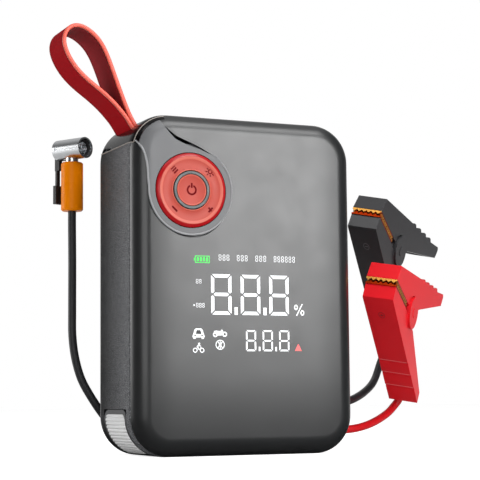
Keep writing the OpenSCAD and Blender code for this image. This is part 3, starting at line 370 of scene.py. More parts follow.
def skin_depth(x, z, proud):
    """Depth of a skin that stands proud of the case's front, at a place in x and z."""
    past = math.hypot(max(abs(x) - case_x, 0),
                      z - min(max(z, case_z[0]), case_z[1])) - (case_corner - case_edge)
    return -edge_start - math.sqrt((case_edge + proud) ** 2 - max(past, 0) ** 2)


def grow(outline, gaps):
    """An anticlockwise outline moved outwards, point by point."""
    grown = []
    for i, gap in enumerate(gaps):
        (ax, az), (bx, bz) = outline[i - 1], outline[(i + 1) % len(outline)]
        run = math.hypot(bx - ax, bz - az)
        grown.append((outline[i][0] + gap * (bz - az) / run, outline[i][1] - gap * (bx - ax) / run))
    return grown


def seat(piece, body, slot, *nodes):
    """The piece moves with a body and stands for nodes of the frame, which are hidden; slot is not used."""
    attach(piece, body)
    if nodes:
        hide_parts(*nodes)


ring_centre = (-34.5, 147)
strap_corner = (-46, 168)
panel_radius = 25.2
saddle_radius = 18.8
tail_high = [(24.9, -0.6), (21.38, 0.58), (16.6, 2.4), (12.2, 3.7), (7.8, 5.08), (3.1, 7.05), (0.5, 9.15),
             (-1.6, 11.3), (-3.7, 13.8), (-5.4, 16.5)]
tail_low = [(-17.4, 1.45), (-16.05, -1.2), (-15.1, -4.5), (-14.5, -7.8), (-14.2, -11), (-14.05, -15)]


def beside_corner(points, steps):
    """A smooth line through points given from the strap corner."""
    line = smooth([(strap_corner[0] + x, 0, strap_corner[1] + z) for x, z in points], steps)
    return [(p.x, p.z) for p in line]


round_part = arc(ring_centre, panel_radius, 181, 411, 96)
upper_edge = beside_corner(tail_high, 6)
tip = arc(strap_corner, saddle_radius - 0.12, 109, 170, 14)
lower_edge = beside_corner(tail_low, 6)
panel_outline = round_part + upper_edge + tip + lower_edge
# The gap round the panel is a hairline, but opens under the ring and along the tail's upper edge.
gaps = [0.2 + 1.0 * max(0, math.cos(math.radians(181 + 230 * i / 96 - 277))) ** 8 for i in range(97)]
gaps += [0.2 + 2.0 * math.sin(math.pi * min(1, (i + 2) / len(upper_edge))) ** 1.5
         for i in range(len(upper_edge))]
gaps += [0.15] * len(tip) + [0.15] * len(lower_edge)
rings = [case_ring(12, -32), case_ring(10.6, -32)] + rounding(10, 90, 17.46, -1, 14)
rings += rounding(7.8, 22.6, 90, -1, 8) + [case_ring(10.6, -29.8)]
front_cover = loft("front_cover", rings)
strap_u, strap_n = (math.sqrt(0.5),) * 2, (-math.sqrt(0.5), math.sqrt(0.5))
strap_origin = (-61.556, 183.556)


def strap_point(u, n):
    """A point of the strap corner's own frame (u along the corner, n outwards) in x and z."""
    return tuple(strap_origin[i] + u * strap_u[i] + n * strap_n[i] for i in (0, 1))


def strap_box(name, u0, u1, n0, n1, half):
    """A box in the strap corner's frame, half wide each way in y."""
    return slab(name, [strap_point(*p) for p in ((u0, n0), (u1, n0), (u1, n1), (u0, n1))], -half, half)


def saddle_room(gap):
    """Cutters for the corner that the strap saddle fills."""
    return (slab("corner room", sector(strap_corner, saddle_radius - gap, 30, 98 - 2 * gap, 166 + 2 * gap),
                 -40, 24 + gap),
            strap_box("block room", -7.4 - gap, 10.6 + gap, -12 - gap, 6, 17 + gap))


carve(front_cover, slab("panel room", grow(panel_outline, gaps), -40, -20), *saddle_room(0.12))
# ABS moulded in a finely spark-eroded tool: charcoal with a wide satin sheen.
satin_abs = surface("satin moulded ABS", "#222324", 0.32, mottle=0.03, patch=14, grain=0.35, depth=0.006,
                    rub=0.02,
                    specular_ior_level=0.75)
# The front is crowned: over its lowest 46 mm and the outer 26 mm at the sides it falls away by a
# little over a millimetre. That is drawn in the shading, and darkens the face towards those edges.
place = add(satin_abs, "ShaderNodeSeparateXYZ", {0: add(satin_abs, "ShaderNodeTexCoord").outputs["Object"]})
side = add(satin_abs, "ShaderNodeMath", {0: place.outputs["X"]}, operation="ABSOLUTE")
falls = []
for spot, edge, reach, slope in ((side, 0.068, -0.026, 0.1), (place, 0.0, 0.046, 0.06)):
    past = add(satin_abs, "ShaderNodeMapRange",
               {0: spot.outputs["Z" if spot == place else 0], 1: edge + reach,
                                                 2: edge, 3: 0.0, 4: 1.0})
    bow = add(satin_abs, "ShaderNodeMath", {0: past.outputs[0], 1: 2.0}, operation="POWER")
    falls.append(add(satin_abs, "ShaderNodeMath", {0: bow.outputs[0], 1: -abs(reach) * slope / 2},
                     operation="MULTIPLY"))
crown = add(satin_abs, "ShaderNodeMath", {0: falls[0].outputs[0], 1: falls[1].outputs[0]}, operation="ADD")
shader = satin_abs.node_tree.nodes["Principled BSDF"]
crown = add(satin_abs, "ShaderNodeBump", {"Strength": 1, "Distance": 1, "Height": crown.outputs[0],
                                          "Normal": shader.inputs["Normal"].links[0].from_socket})
satin_abs.node_tree.links.new(crown.outputs["Normal"], shader.inputs["Normal"])
front_cover.data.materials.append(satin_abs)
ease(front_cover, 0.25)
seat(front_cover, "pack", "graphite_plastic", "front_shell")

# Side band --------------------------------------------------------------------------------
# A thin band of grained polyurethane leather glued round the sides between the two covers.
# Its front edge is turned over a cord, which shows as a bead, and sewn just behind it.

band_front = -24.88
wrap = 1.0
rings = rounding(10, math.degrees(math.asin(-(edge_start + band_front) / case_edge)), 0, -1, 3)
rings += [case_ring(0, y) for y in (-20.5, 0, 20.5, 21.88)]
rings += [case_ring(wrap, y) for y in (21.88, 20.5, 0, -20.5)]
rings += list(reversed(rounding(9, math.degrees(math.asin(-(edge_start + band_front) / 9)), 0, -1, 3)))
side_band = loft("side_band", rings, closed=True)


def lamp_room(gap):
    """The cutter for the corner that the torch fills."""
    return slab("torch room", sector((-case_x, case_z[0]), 10 - gap, 34, 169 - 2 * gap, 255 + 2 * gap),
                -19 - gap, 17 + gap)


def flap_room(gap):
    """The cutter for the hinged flap over the charging ports."""
    return block("flap room", (65.6, -9 - gap, 66 - gap), (75, 11.9, 108 + gap))


carve(side_band, *saddle_room(0.12), lamp_room(0.12), flap_room(0.3))
# Polyurethane leather, embossed: mid grey with pebbles about a millimetre across, whose
# tops catch the light; their creases are painted darker as shade.
pu_leather = surface("embossed PU leather", "#8d8e91", 0.55, mottle=0.08, grain=0.25, depth=0.01,
                     specular_ior_level=0.15)
shader = pu_leather.node_tree.nodes["Principled BSDF"]
place = add(pu_leather, "ShaderNodeTexCoord").outputs["Object"]
warp = add(pu_leather, "ShaderNodeTexNoise", {"Vector": place, "Scale": 1000 / 3, "Detail": 2})
bent = add(pu_leather, "ShaderNodeVectorMath", {0: warp.outputs["Color"], 1: (0.0012, 0.0012, 0.0012)},
           operation="MULTIPLY")
moved = add(pu_leather, "ShaderNodeVectorMath", {0: place, 1: bent.outputs[0]}, operation="ADD")
pebble = add(pu_leather, "ShaderNodeTexVoronoi", {"Vector": moved.outputs[0], "Scale": 1000 / 1.0},
             feature="DISTANCE_TO_EDGE")
crease = add(pu_leather, "ShaderNodeMapRange",
             {0: pebble.outputs["Distance"], 1: 0.0, 2: 0.3, 3: 0.0, 4: 1.0})
emboss = add(pu_leather, "ShaderNodeBump", {"Strength": 0.9, "Distance": 0.0001, "Height": crease.outputs[0],
                                            "Normal": shader.inputs["Normal"].links[0].from_socket})
pu_leather.node_tree.links.new(emboss.outputs["Normal"], shader.inputs["Normal"])
tone = shader.inputs["Base Color"].links[0].from_socket
shaded_tone = add(pu_leather, "ShaderNodeMix", {0: crease.outputs[0], 6: colour("#3c3d3f"), 7: tone},
           data_type="RGBA")
# Painted shade: the band is coloured darker towards the back cover, standing in for the light falling off
# there.
depth = add(pu_leather, "ShaderNodeSeparateXYZ", {0: place})
falloff_shade = add(pu_leather, "ShaderNodeMapRange", {0: depth.outputs["Y"], 1: -0.02, 2: 0.018, 3: 1.0, 4: 0.05})
shaded_tone = add(pu_leather, "ShaderNodeMix", {0: falloff_shade.outputs[0], 6: colour("#151516"), 7: shaded_tone.outputs[2]},
           data_type="RGBA")
pu_leather.node_tree.links.new(shaded_tone.outputs[2], shader.inputs["Base Color"])
side_band.data.materials.append(pu_leather)
ease(side_band, 0.15)
seat(side_band, "pack", "grained_plastic", "side_wrap")


def case_line(inset, y, spacing):
    """Points round the case at even spacing, with the outward direction in x and z at each."""
    ring = [(x, z) for x, _, z in case_ring(inset, y)]
    points = []
    left = 0.0
    for (ax, az), (bx, bz) in zip(ring, ring[1:] + ring[:1]):
        run = math.hypot(bx - ax, bz - az)
        while left < run:
            t = left / run
            points.append((ax + (bx - ax) * t, az + (bz - az) * t, (bz - az) / run, (ax - bx) / run))
            left += spacing
        left -= run
    return points


def on_band(x, z):
    """True where the side band is: not on the strap saddle, nor in the 2 mm beside it on the top edge."""
    for (cx, cz), low, high in ((strap_corner, 96.5, 167.5), ((-case_x, case_z[0]), 90, 91)):
        around = math.degrees(math.atan2(z - cz, x - cx)) % 360
        if low < around < high and math.hypot(x - cx, z - cz) > 15:
            return False
    return True


# The bead: the turned edge stands proud along the seam.
bead_faces = []
bead_corners = []
stops = case_line(0.62, -24.2, 1.2)
for i, (x, z, nx, nz) in enumerate(stops):
    for j in range(6):
        a = math.radians(60 * j)
        out = 0.42 * math.cos(a)
        bead_corners.append((x + nx * out, -24.2 + 0.42 * math.sin(a), z + nz * out))
    k = (i + 1) % len(stops)
    if on_band(x, z) and on_band(stops[k][0], stops[k][1]):
        bead_faces += [(6 * i + j, 6 * i + (j + 1) % 6, 6 * k + (j + 1) % 6, 6 * k + j) for j in range(6)]
        for m, n in ((i - 1, i), (k, (k + 1) % len(stops))):
            spot = stops[m] if n == i else stops[n]
            if not on_band(spot[0], spot[1]):
                bead_faces.append(tuple(6 * (i if n == i else k) + j for j in range(6)))
bead = solid("edge_bead", bead_corners, bead_faces)
work = bmesh.new()
work.from_mesh(bead.data)
bmesh.ops.delete(work, geom=[v for v in work.verts if not v.link_faces], context="VERTS")
work.to_mesh(bead.data)
work.free()
# The turned edge is stretched smooth over its cord: dull, and darker than the grained face; the dark
# is partly painted shade, standing in for the soft groove along the seam.
shaded_edge_leather = surface("stretched PU leather, painted shade", "#1f2021", 0.6, specular_ior_level=0.05, mottle=0.1,
                            patch=4, grain=0.5, depth=0.02)
bead.data.materials.append(shaded_edge_leather)
seat(bead, "pack", "grained_plastic")

# The stitches: bonded nylon thread, 1.1 mm a stitch, each one a small lozenge pulled into the band.
stitch_corners = []
stitch_faces = []
for x, z, nx, nz in case_line(0, -21.9, 1.12):
    if not on_band(x, z):
        continue
    tx, tz = -nz, nx
    base = len(stitch_corners)
    for along, across, out in ((-0.4, 0, -0.15), (0, -0.42, -0.15), (0.4, 0, -0.15), (0, 0.42, -0.15),
                               (0, 0, 0.1)):
        stitch_corners.append((x + tx * along + nx * out, -21.9 + across + 0.35 * along,
                               z + tz * along + nz * out))
    stitch_faces += [(base + a, base + b, base + 4) for a, b in ((0, 1), (1, 2), (2, 3), (3, 0))]
    stitch_faces.append((base + 3, base + 2, base + 1, base))
stitches = solid("band_stitches", stitch_corners, stitch_faces)
# Bonded nylon thread: dark, with a slight shine on each stitch.
nylon_thread = surface("bonded nylon thread", "#09090a", 0.5, mottle=0.25, patch=1.2, grain=0.2, depth=0.02)
stitches.data.materials.append(nylon_thread)
seat(stitches, "pack", "grained_plastic")

# Rear cover -----------------------------------------------------------------------------
# A deep ABS tub moulded with four screw posts and four board bosses. The band lies in a step
# round it, and it is open for the vents, the plug socket, the air elbow and the ports.

screw_spots = [(57, 16), (53, 180.4), (-59, 36), (-59, 112)]
boss_spots = [(8, 44), (54, 44), (8, 152), (54, 152)]
low_edge = math.degrees(math.asin(2.88 / 6.8))
rings = [case_ring(14, 28.8), case_ring(11.2, 28.8)] + rounding(6.8, 90, 0, 1, 8)
rings += list(reversed(rounding(6.8, low_edge, 0, -1, 3)))
rings += rounding(8.97, math.degrees(math.asin(2.88 / 8.97)), 0, -1, 3)
rings += [case_ring(1.03, y) for y in (-20.5, 0, 20.5, 22)] + [case_ring(0.35, 22)]
rings += rounding(10, 2, 90, 1, 14) + [case_ring(10.6, 32), case_ring(14, 32)]
rear_cover = loft("rear_cover", rings)


def post(name, spot, radius, y0, y1, steps=32):
    """A round bar along y at a spot in x and z."""
    return slab(name, arc(spot, radius, 0, 360 - 360 / steps, steps - 1), y0, y1)


carve(rear_cover, *[post("post", spot, 4, -12, 29) for spot in screw_spots],
      *[post("boss", spot, 3, 16.9, 29) for spot in boss_spots], how="UNION")
rooms = [*saddle_room(0.12), lamp_room(0.12), flap_room(0.3)]
rooms += [post("screw head", spot, 2.6, -8, 40) for spot in screw_spots]
rooms += [post("screw", spot, 1.25, -20, 0) for spot in screw_spots]
rooms += [block("port", (57, -1.7, z), (70, 1.9, z + 9.4)) for z in (72, 87)]
rooms += [block("socket room", (28.9, 10, 10.9), (51.1, 40, 29.1)),
          post("outlet room", (-50.8, 11.4), 3.32, 23, 40)]
rooms += [block("vent", (-48, 26, 64 + 5 * i), (-14, 40, 65.6 + 5 * i)) for i in range(8)]
carve(rear_cover, *rooms)
rear_cover.data.materials.append(satin_abs)
ease(rear_cover, 0.2)
seat(rear_cover, "pack", "graphite_plastic", "rear_shell")
dress("case_screws", zinc_steel, 0.15)

# Plug socket: blue polyamide, as on heavy-current connectors, a deep even colour with little shine.
blue_polyamide = surface("blue moulded polyamide", "#27408b", 0.42, mottle=0.05, grain=0.6, depth=0.012)
dress("jump_socket", blue_polyamide, 0.3)

# Strap corner and wrist strap -------------------------------------------------------------
# A polished black corner piece is let into both covers. A steel pin in it holds the strap,
# one closed loop of moulded silicone, stiff enough to stand up by itself.

rings = [case_ring(12, -32), case_ring(10.6, -32)] + rounding(10, 90, 0, -1, 14)
rings += [case_ring(0, y) for y in (-20.5, 20.5)] + rounding(10, 0, 90, 1, 14) + [case_ring(10.6, 32),
                                                                                  case_ring(12, 32)]
saddle = loft("strap_saddle_gloss", rings)
corner_part = slab("corner part", sector(strap_corner, saddle_radius, 30, 98, 166), -40, 24)
carve(corner_part, strap_box("block part", -7.4, 10.6, -12, 6, 17), how="UNION")
carve(saddle, corner_part, how="INTERSECT")
carve(saddle, strap_box("slot", -1.1, 4.3, -6, 5, 13.4), strap_box("pin bay", -2.3, 5.5, -13, -2, 13.4),
      slab("pin bore", arc(strap_point(1.6, -7), 1.25, 0, 345, 23), -18, 18))
# Polished polycarbonate, black: a sharp mirror under a hard clear skin.
polished_black = surface("polished black polycarbonate", "#0c0b0c", 0.14, rub=0.02, mottle=0.1, grain=3,
                         depth=0.004,
                         specular_ior_level=0.15)
saddle.data.materials.append(polished_black)
ease(saddle, 0.3)
seat(saddle, "pack", "gloss_black", "strap_saddle")
# Two beads moulded on the corner piece, pale as painted highlight: one along its front arc and one along its
# lower edge.
front_bead = [(x, -26.9, z) for x, z in arc(strap_corner, 20.7, 96, 166, 28)]
low_bead = [(x, y, z) for y,
            out in ((-26.9, 20.7), (-25.5, 21.35), (-24, 21.8), (-22, 22), (-10, 22), (6, 22), (23.6, 22))
            for x, z in arc(strap_corner, out, 166, 166, 1)[:1]]
# The same polycarbonate, matt on the beads and coloured grey-brown: painted highlight, the thin light line
# along the corner piece.
highlight_bead = surface("matt polycarbonate bead, painted highlight", "#8c857e", 0.35, mottle=0.06, patch=5, grain=0.6,
                    depth=0.004)
for name, path in (("saddle_front_bead", front_bead), ("saddle_lower_bead", low_bead)):
    piece = wire(name, path, [0.34] * len(path))
    piece.data.materials.append(highlight_bead)
    seat(piece, "pack", "gloss_black")
dress("strap_pin", zinc_steel, 0.1)

half_thick = 1.1
middle = [(2.76, 0.5), (4.9, 8), (8.6, 17), (13, 27), (17.9, 37.8), (21, 47.8), (20.2, 57), (17, 62.8),
          (11.9, 64.8),
          (6.5, 63), (2.3, 58), (-0.6, 48), (-0.4, 37), (1.4, 27), (2.3, 17), (1.9, 8), (0.44, 0.5),
          (0.3, -1.6),
          (-0.25, -4)] + arc((1.6, -7), 2.45, 170, 370, 7) + [(3.45, -4), (2.9, -1.6)]
path = [Vector((u, 0, n)) for u, n in middle]
line = []
for i, b in enumerate(path):
    a, c, d = path[i - 1], path[(i + 1) % len(path)], path[(i + 2) % len(path)]
    line += [on_curve(a, b, c, d, t) for t in (0, 0.2, 0.4, 0.6, 0.8)]
for _ in range(8):
    line = [(line[i - 1] + 2 * p + line[(i + 1) % len(line)]) / 4 if p.z > 9 else p for i,
            p in enumerate(line)]
# Across, the strap is a flat band with rounded edges and a fine groove 1.5 mm inside each edge, on
# both faces.
half = [(11.2, half_thick), (11.4, 0.85), (11.7, 0.85), (11.9, half_thick), (12.3, half_thick)]
half += [(12.3 + 0.7 * math.cos(math.radians(a)), half_thick * math.sin(math.radians(a)))
         for a in range(75, -90, -15)]
half += [(w, -t) for w, t in reversed(half[:5])]
section = half + [(-w, -t) for w, t in half]
rings = []
for i, p in enumerate(line):
    run = (line[(i + 1) % len(line)] - line[i - 1]).normalized()
    out = Vector((run.z, 0, -run.x))
    ring = [(strap_point(p.x + out.x * t, p.z + out.z * t), w) for w, t in section]
    rings.append([(x, w, z) for (x, z), w in ring])
strap = loft("wrist_strap_loop", rings, closed=True)
# Silicone, compression moulded: deep red outside with a soft sheen and a faint tool grain.
outer_silicone = surface("moulded silicone, outer face", "#a00f18", 0.6, mottle=0.03, patch=12, rub=0.02,
                         grain=0.5,
                         depth=0.003, specular_ior_level=0.02)
# The loop's inner face is left rough from the tool: darker and dull.
inner_silicone = surface("moulded silicone, inner face", "#98292f", 0.55, mottle=0.04, patch=12, rub=0.02,
                         grain=0.5,
                         depth=0.003, specular_ior_level=0.03)
# The parting line's edge is trimmed and translucent, so it looks salmon.
edge_silicone = surface("trimmed silicone edge", "#e8604e", 0.4, mottle=0.04, patch=9, grain=0.5, depth=0.003)
# In the groove little light comes back.
groove_silicone = surface("silicone groove", "#4a0a0e", 0.6, mottle=0.08, patch=9, grain=0.5, depth=0.01)
for finish in (outer_silicone, inner_silicone, edge_silicone, groove_silicone):
    strap.data.materials.append(finish)
middle_of_loop = Vector(strap_point(9, 36))
for face in strap.data.polygons:
    w = abs(face.center.y) * 1000
    towards = Vector((face.center.x * 1000, face.center.z * 1000)) - middle_of_loop
    outside = towards.x * face.normal.x + towards.y * face.normal.z > 0
    face.material_index = 2 if w > 11.9 else 3 if w > 11.25 else 0 if outside else 1
seat(strap, "pack", "red_silicone", "wrist_strap")

# Control panel --------------------------------------------------------------------------
# A teardrop panel screwed in from behind, in light grey ABS. Its face follows the case 0.8 mm
# proud, its edge is glossier and paler, the paleness a painted highlight, and a round cup in it holds the
# rocker ring and power button.

panel = slab("control_panel_face", panel_outline, -34, -27.5)
skin = [case_ring(12, -32.8), case_ring(10.9, -32.8)] + rounding(10.8, 90, 0, -1, 14) + [case_ring(-0.8, -15)]
carve(panel, loft("panel skin", skin), how="INTERSECT")
cup = slab("cup", arc(ring_centre, 26.4, 0, 357, 119), -29, -22.4)
carve(panel, cup, how="UNION")
carve(panel, slab("cup bore", arc(ring_centre, 21.2, 0, 357, 119), -40, -21))
# ABS, light grey, spark-eroded tool: an even satin grey.
panel_abs = surface("satin panel ABS", "#5e5f61", 0.42, mottle=0.03, patch=14, grain=0.35, depth=0.006,
                    rub=0.03)
# The same ABS, glossier, on the panel's edge and rim: paler as painted highlight, the light line along them.
highlight_abs = surface("panel ABS with painted highlight", "#8f9092", 0.3, mottle=0.04, patch=14, grain=1.5, depth=0.003,
                       rub=0.03)
panel.data.materials.append(panel_abs)
panel.data.materials.append(highlight_abs)
# The cup's wall is coloured black as painted shade, so the gap round the ring is a fine black line.
gap_shade_black = surface("matt black painted shade", "#050505", 0.8, mottle=0.1, patch=4, grain=0.4, depth=0.01,
                      specular_ior_level=0.1)
panel.data.materials.append(gap_shade_black)
for face in panel.data.polygons:
    r = math.hypot(face.center.x * 1000 - ring_centre[0], face.center.z * 1000 - ring_centre[1])
    face.material_index = 2 if abs(r - 21.2) < 0.1 else 0
ease(panel, 0.25).material = 1
seat(panel, "pack", "panel_grey", "control_panel")
# The rim: a bead, paler as painted highlight, that leaves the strap corner, follows the panel's left edge
# and runs round under the ring to the start of the open groove.
line = beside_corner([(-19.9, 6.2), (-18.5, 4.1), (-17.0, 1.8), (-15.75, -1.05), (-14.8, -4.4), (-14.2, -7.7),
                      (-13.9, -11), (-13.75, -14.9)], 4) + arc(ring_centre, 24.75, 178, 415, 110)
path = [(x, skin_depth(x, z, 0.6), z) for x, z in line]
rim = wire("panel_rim", path,
           [0.62 * min(1, 0.5 + i / 20, 0.15 + (len(path) - 1 - i) / 10) for i in range(len(path))])
rim.data.materials.append(highlight_abs)
seat(rim, "pack", "panel_grey")

# Rocker ring, bezel and power button -----------------------------------------------------
# The ring is a red ABS moulding on a gimbal, so that it tips towards each of its four marks.
# The grey bezel is fixed inside it, and the round power button slides in the bezel.


def turned(name, profile, steps=120):
    """A closed profile of (radius, height before the case's middle) turned about the ring's axis."""
    rings = []
    for i in range(steps):
        a = 2 * math.pi * i / steps
        rings.append([(ring_centre[0] + r * math.cos(a), -h, ring_centre[1] + r * math.sin(a)) for r,
                      h in profile])
    return loft(name, rings, closed=True)


profile = [(11.0, 31.8), (11.0, 33.65)] + arc((11.3, 33.65), 0.3, 180, 30, 5) + [(11.9, 33.62), (16.4, 33.7),
                                                                                 (17.3, 33.95)]
profile += arc((18.8, 33.4), 0.8, 100, 60, 5) + arc((20.4, 32.9), 0.4, 50, 0, 3)
profile += [(20.8, 29.4), (19.3, 29.4), (19.3, 27), (17.7, 27), (17.7, 31.8)]
ring = turned("rocker_ring_top", profile)
# ABS dyed red, polished: the ring's sloping shoulder, a strong clear red, made darker than the top as painted
# shade for the dark it reflects.
dark_shoulder_red = surface("polished red ABS, painted shade", "#a80f16", 0.22, mottle=0.04, grain=1.5, depth=0.003, rub=0.03)
# The ring's top has a finely blasted skin that scatters light, so the same red turns salmon.
blasted_red = surface("blasted red ABS", "#b43b2a", 0.5, mottle=0.04, patch=10, grain=0.3, depth=0.008,
                      rub=0.04)
# The raised line round its inner edge and crest is palest: painted highlight, the light along those edges.
highlight_red = surface("blasted red ABS, painted highlight", "#c95c4a", 0.45, mottle=0.03, patch=10, grain=0.3, depth=0.006,
                   rub=0.04)
for finish in (dark_shoulder_red, blasted_red, highlight_red):
    ring.data.materials.append(finish)
for face in ring.data.polygons:
    r = math.hypot(face.center.x * 1000 - ring_centre[0], face.center.z * 1000 - ring_centre[1])
    face.material_index = 0 if face.normal.y > -0.93 and r > 12 else 2 if r < 11.6 or 17.3 < r < 18.8 else 1
seat(ring, "rocker_ring", "salmon_ring", "rocker_ring")

bezel = turned("button_bezel",
               [(9.0, 22.4), (9.0, 34.1), (9.2, 34.3), (10.4, 34.3), (10.6, 34.1), (10.6, 23.8),
                                (12.7, 23.8), (12.7, 22.4)])
# Zinc-grey lacquer on ABS: a cool grey with a soft metallic shine.
grey_lacquer = surface("grey lacquered ABS", "#3c4648", 0.34, mottle=0.05, patch=6, grain=0.3, depth=0.004)
bezel.data.materials.append(grey_lacquer)
seat(bezel, "pack", "grey_bezel", "ring_bezel")

profile = [(0.02, 26.75), (8.75, 26.75), (8.75, 33.95)] + arc((8.5, 33.85), 0.25, 20, 90, 3) + [(8.1, 33.9),
                                                                                                (0.02, 33.95)]
button = turned("power_button_cap", profile)
button.data.materials.append(blasted_red)
# The button's rounded rim takes the pale red: painted highlight along its edge.
button.data.materials.append(highlight_red)
for face in button.data.polygons:
    r = math.hypot(face.center.x * 1000 - ring_centre[0], face.center.z * 1000 - ring_centre[1])
    face.material_index = int(face.center.y < -0.0338 and r > 8.05)
stem = slab("stem", arc(ring_centre, 2, 0, 345, 23), -27, -24.75)
carve(button, stem, how="UNION")
seat(button, "power_button", "red_plastic", "power_button")
dress("ring_gimbal", moulded_nylon, 0.1)


def plates(name, outlines, y0, y1):
    """Many flat outlines made solid from depth y0 to y1, as one piece."""
    corners = []
    faces = []
    for outline in outlines:
        n = len(outline)
        base = len(corners)
        corners += [(x, y, z) for y in (y0, y1) for x, z in outline]
        faces += [(base + i, base + (i + 1) % n, base + n + (i + 1) % n, base + n + i) for i in range(n)]
        faces += [tuple(range(base + n - 1, base - 1, -1)), tuple(range(base + n, base + 2 * n))]
    return solid(name, corners, faces)


def bar(x, z, long, wide, angle=0):
    """The outline of a bar about a point, turned by an angle."""
    c, s = math.cos(math.radians(angle)), math.sin(math.radians(angle))
    return [(x + u * c - v * s, z + u * s + v * c) for u, v in (
        (-long / 2, -wide / 2), (long / 2, -wide / 2), (long / 2, wide / 2), (-long / 2, wide / 2))]


def hoop(x, z, inner, outer, start=0, end=360, steps=24):
    """The outlines of a hoop, or of a part of one, in two halves."""
    middle = (start + end) / 2
    return [arc((x, z), outer, a, b, steps) + arc((x, z), inner, b, a, steps)
            for a, b in ((start, middle - 0.2), (middle, end - 0.2))]


# Marks: pad-printed in a darker red, a few hundredths of a millimetre thick.
mark_ink = surface("pad-printed dark red ink", "#6b1015", 0.7, mottle=0.05, patch=3, grain=0.3, depth=0.002,
                   specular_ior_level=0.05)
x, z = ring_centre
power_mark = plates("power_mark", hoop(x, z, 1.95, 3.0, 113, 427) + [bar(x, z + 2.5, 1.0, 2.8)], -33.98,
                    -33.8)
power_mark.data.materials.append(mark_ink)
seat(power_mark, "power_button", "red_plastic")
marks = [bar(-44.7 + u, 158 + v, 3.2, 0.85, 45) for u, v in ((-1.0, 1.0), (0, 0), (1.0, -1.0))]
marks += hoop(-23.2, 157.8, 0.8, 1.4)
for i in range(8):
    a = math.radians(45 * i)
    marks.append(bar(-23.2 + 2.25 * math.cos(a), 157.8 + 2.25 * math.sin(a), 1.2, 0.6, 45 * i))
marks += [bar(-44.6, 136.1, 4.1, 1.05, -45), bar(-23.1, 136.3, 3.6, 1.05, 45)]
marks += [bar(-23.1 + u, 136.3 - u, 1.25, 1.05, -45) for u in (-0.83, 0.83)]
ring_marks = plates("ring_marks", marks, -33.76, -33.5)
ring_marks.data.materials.append(mark_ink)
seat(ring_marks, "rocker_ring", "salmon_ring")

# Circuit boards: glass-epoxy with a green solder mask, glossy, with faint copper tracks under it.
solder_mask = surface("green solder mask", "#145c33", 0.3, mottle=0.2, patch=2.5, grain=0.8, depth=0.01)
dress("switch_board", solder_mask, 0.1)

# Display --------------------------------------------------------------------------------
# White acrylic light guide on its board behind the thin front. Its marks shine through the
# front in white, with a green battery and a red warning triangle.

# Acrylic light guide, opal: milky white and slightly shiny.
opal_acrylic = surface("opal acrylic", "#f1f1ec", 0.3, mottle=0.02, grain=0.8, depth=0.006)
dress("light_guide", opal_acrylic, 0.1)
dress("display_board", solder_mask, 0.1)


def figure(x0, x1, z0, z1, wide, gap):
    """The seven bars of a figure eight, with mitred corners and pointed middles."""
    m, h = (z0 + z1) / 2, wide / 2
    upper = [[(x0 + gap, z1), (x1 - gap, z1), (x1 - wide - gap, z1 - wide), (x0 + wide + gap, z1 - wide)]]
    for p, side in ((x0, 1), (x1, -1)):
        upper.append([(p, z1 - gap), (p + side * wide, z1 - wide - gap), (p + side * wide, m + h + gap),
                      (p + side * h, m + gap), (p, m + gap + h * 0.6)])
    middle = [(x0 + h + gap, m), (x0 + wide + gap, m + h), (x1 - wide - gap, m + h), (x1 - h - gap, m),
              (x1 - wide - gap, m - h), (x0 + wide + gap, m - h)]
    return upper + [[(x, 2 * m - z) for x, z in outline] for outline in upper] + [middle]


def glow(name, code, strength):
    """Light through the thin front: a lit patch that is a little uneven, as the guide behind it is."""
    made = surface(name, code, 0.4, mottle=0.05, patch=5, grain=0.35, depth=0.004)
    shader = made.node_tree.nodes["Principled BSDF"]
    made.node_tree.links.new(shader.inputs["Base Color"].links[0].from_socket,
                             shader.inputs["Emission Color"])
    shader.inputs["Emission Strength"].default_value = strength
    return made


def lit(name, outlines, finish):
    """Marks that shine through the front, as a skin of a few hundredths of a millimetre."""
    piece = plates(name, outlines, -32.03, -31.9)
    piece.data.materials.append(finish)
    seat(piece, "pack", "lens")


# White light through the thinned black front: near white, softened by the plastic.
white_glow = glow("white light through ABS", "#e6e8ea", 0.62)
green_glow = glow("green light through ABS", "#2fc845", 0.6)
red_glow = glow("red light through ABS", "#ec6060", 0.5)
grey_glow = glow("dimmed light through ABS", "#2b2d2e", 0.1)
big = [figure(x0, x1, 78.2, 100.7, 1.85, 0.62) for x0, x1 in ((-22.4, -10.1), (-4.4, 7.6), (13.3, 25.4))]
small = [figure(x0, x1, 58, 69.7, 0.9, 0.42) for x0, x1 in ((-1.4, 4.8), (8.9, 15.2), (19.2, 25.5))]
units = [figure(x0 + w * i, x0 + w * i + 0.62 * w, 108.4, 111.7, 0.26, 0.14) for x0, w, n in (
    (-17.6, 2.4, 3), (-6.5, 2.45, 3), (4.9, 2.5, 3), (16.4, 2.35, 6)) for i in range(n)]
units += [figure(-31.5 + 1.9 * i, -30.1 + 1.9 * i, 95.3, 97.6, 0.24, 0.12) for i in range(2)]
units += [figure(-31.5 + 1.85 * i, -30.15 + 1.85 * i, 82, 84.4, 0.24, 0.12) for i in range(3)]
white = [outline for part in big + small + units for outline in part]
white += [bar(x, 80.3, 1.9, 4.2) for x in (-7.3, 10.5)] + [bar(x, 59.2, 1.0, 2.4) for x in (6.9, 17.2)]
white += [arc((-32.7, 83.2), 0.5, 0, 330, 11)]
for x, z in ((30.0, 82.9), (34.0, 79.8)):
    white += [[(x + (p - x) * 1, z + (q - z) * 1.3) for p, q in half]
              for half in hoop(x, z, 0.6, 1.2, steps=12)]
white.append(bar(32.15, 81.5, 7.6, 0.6, 61))
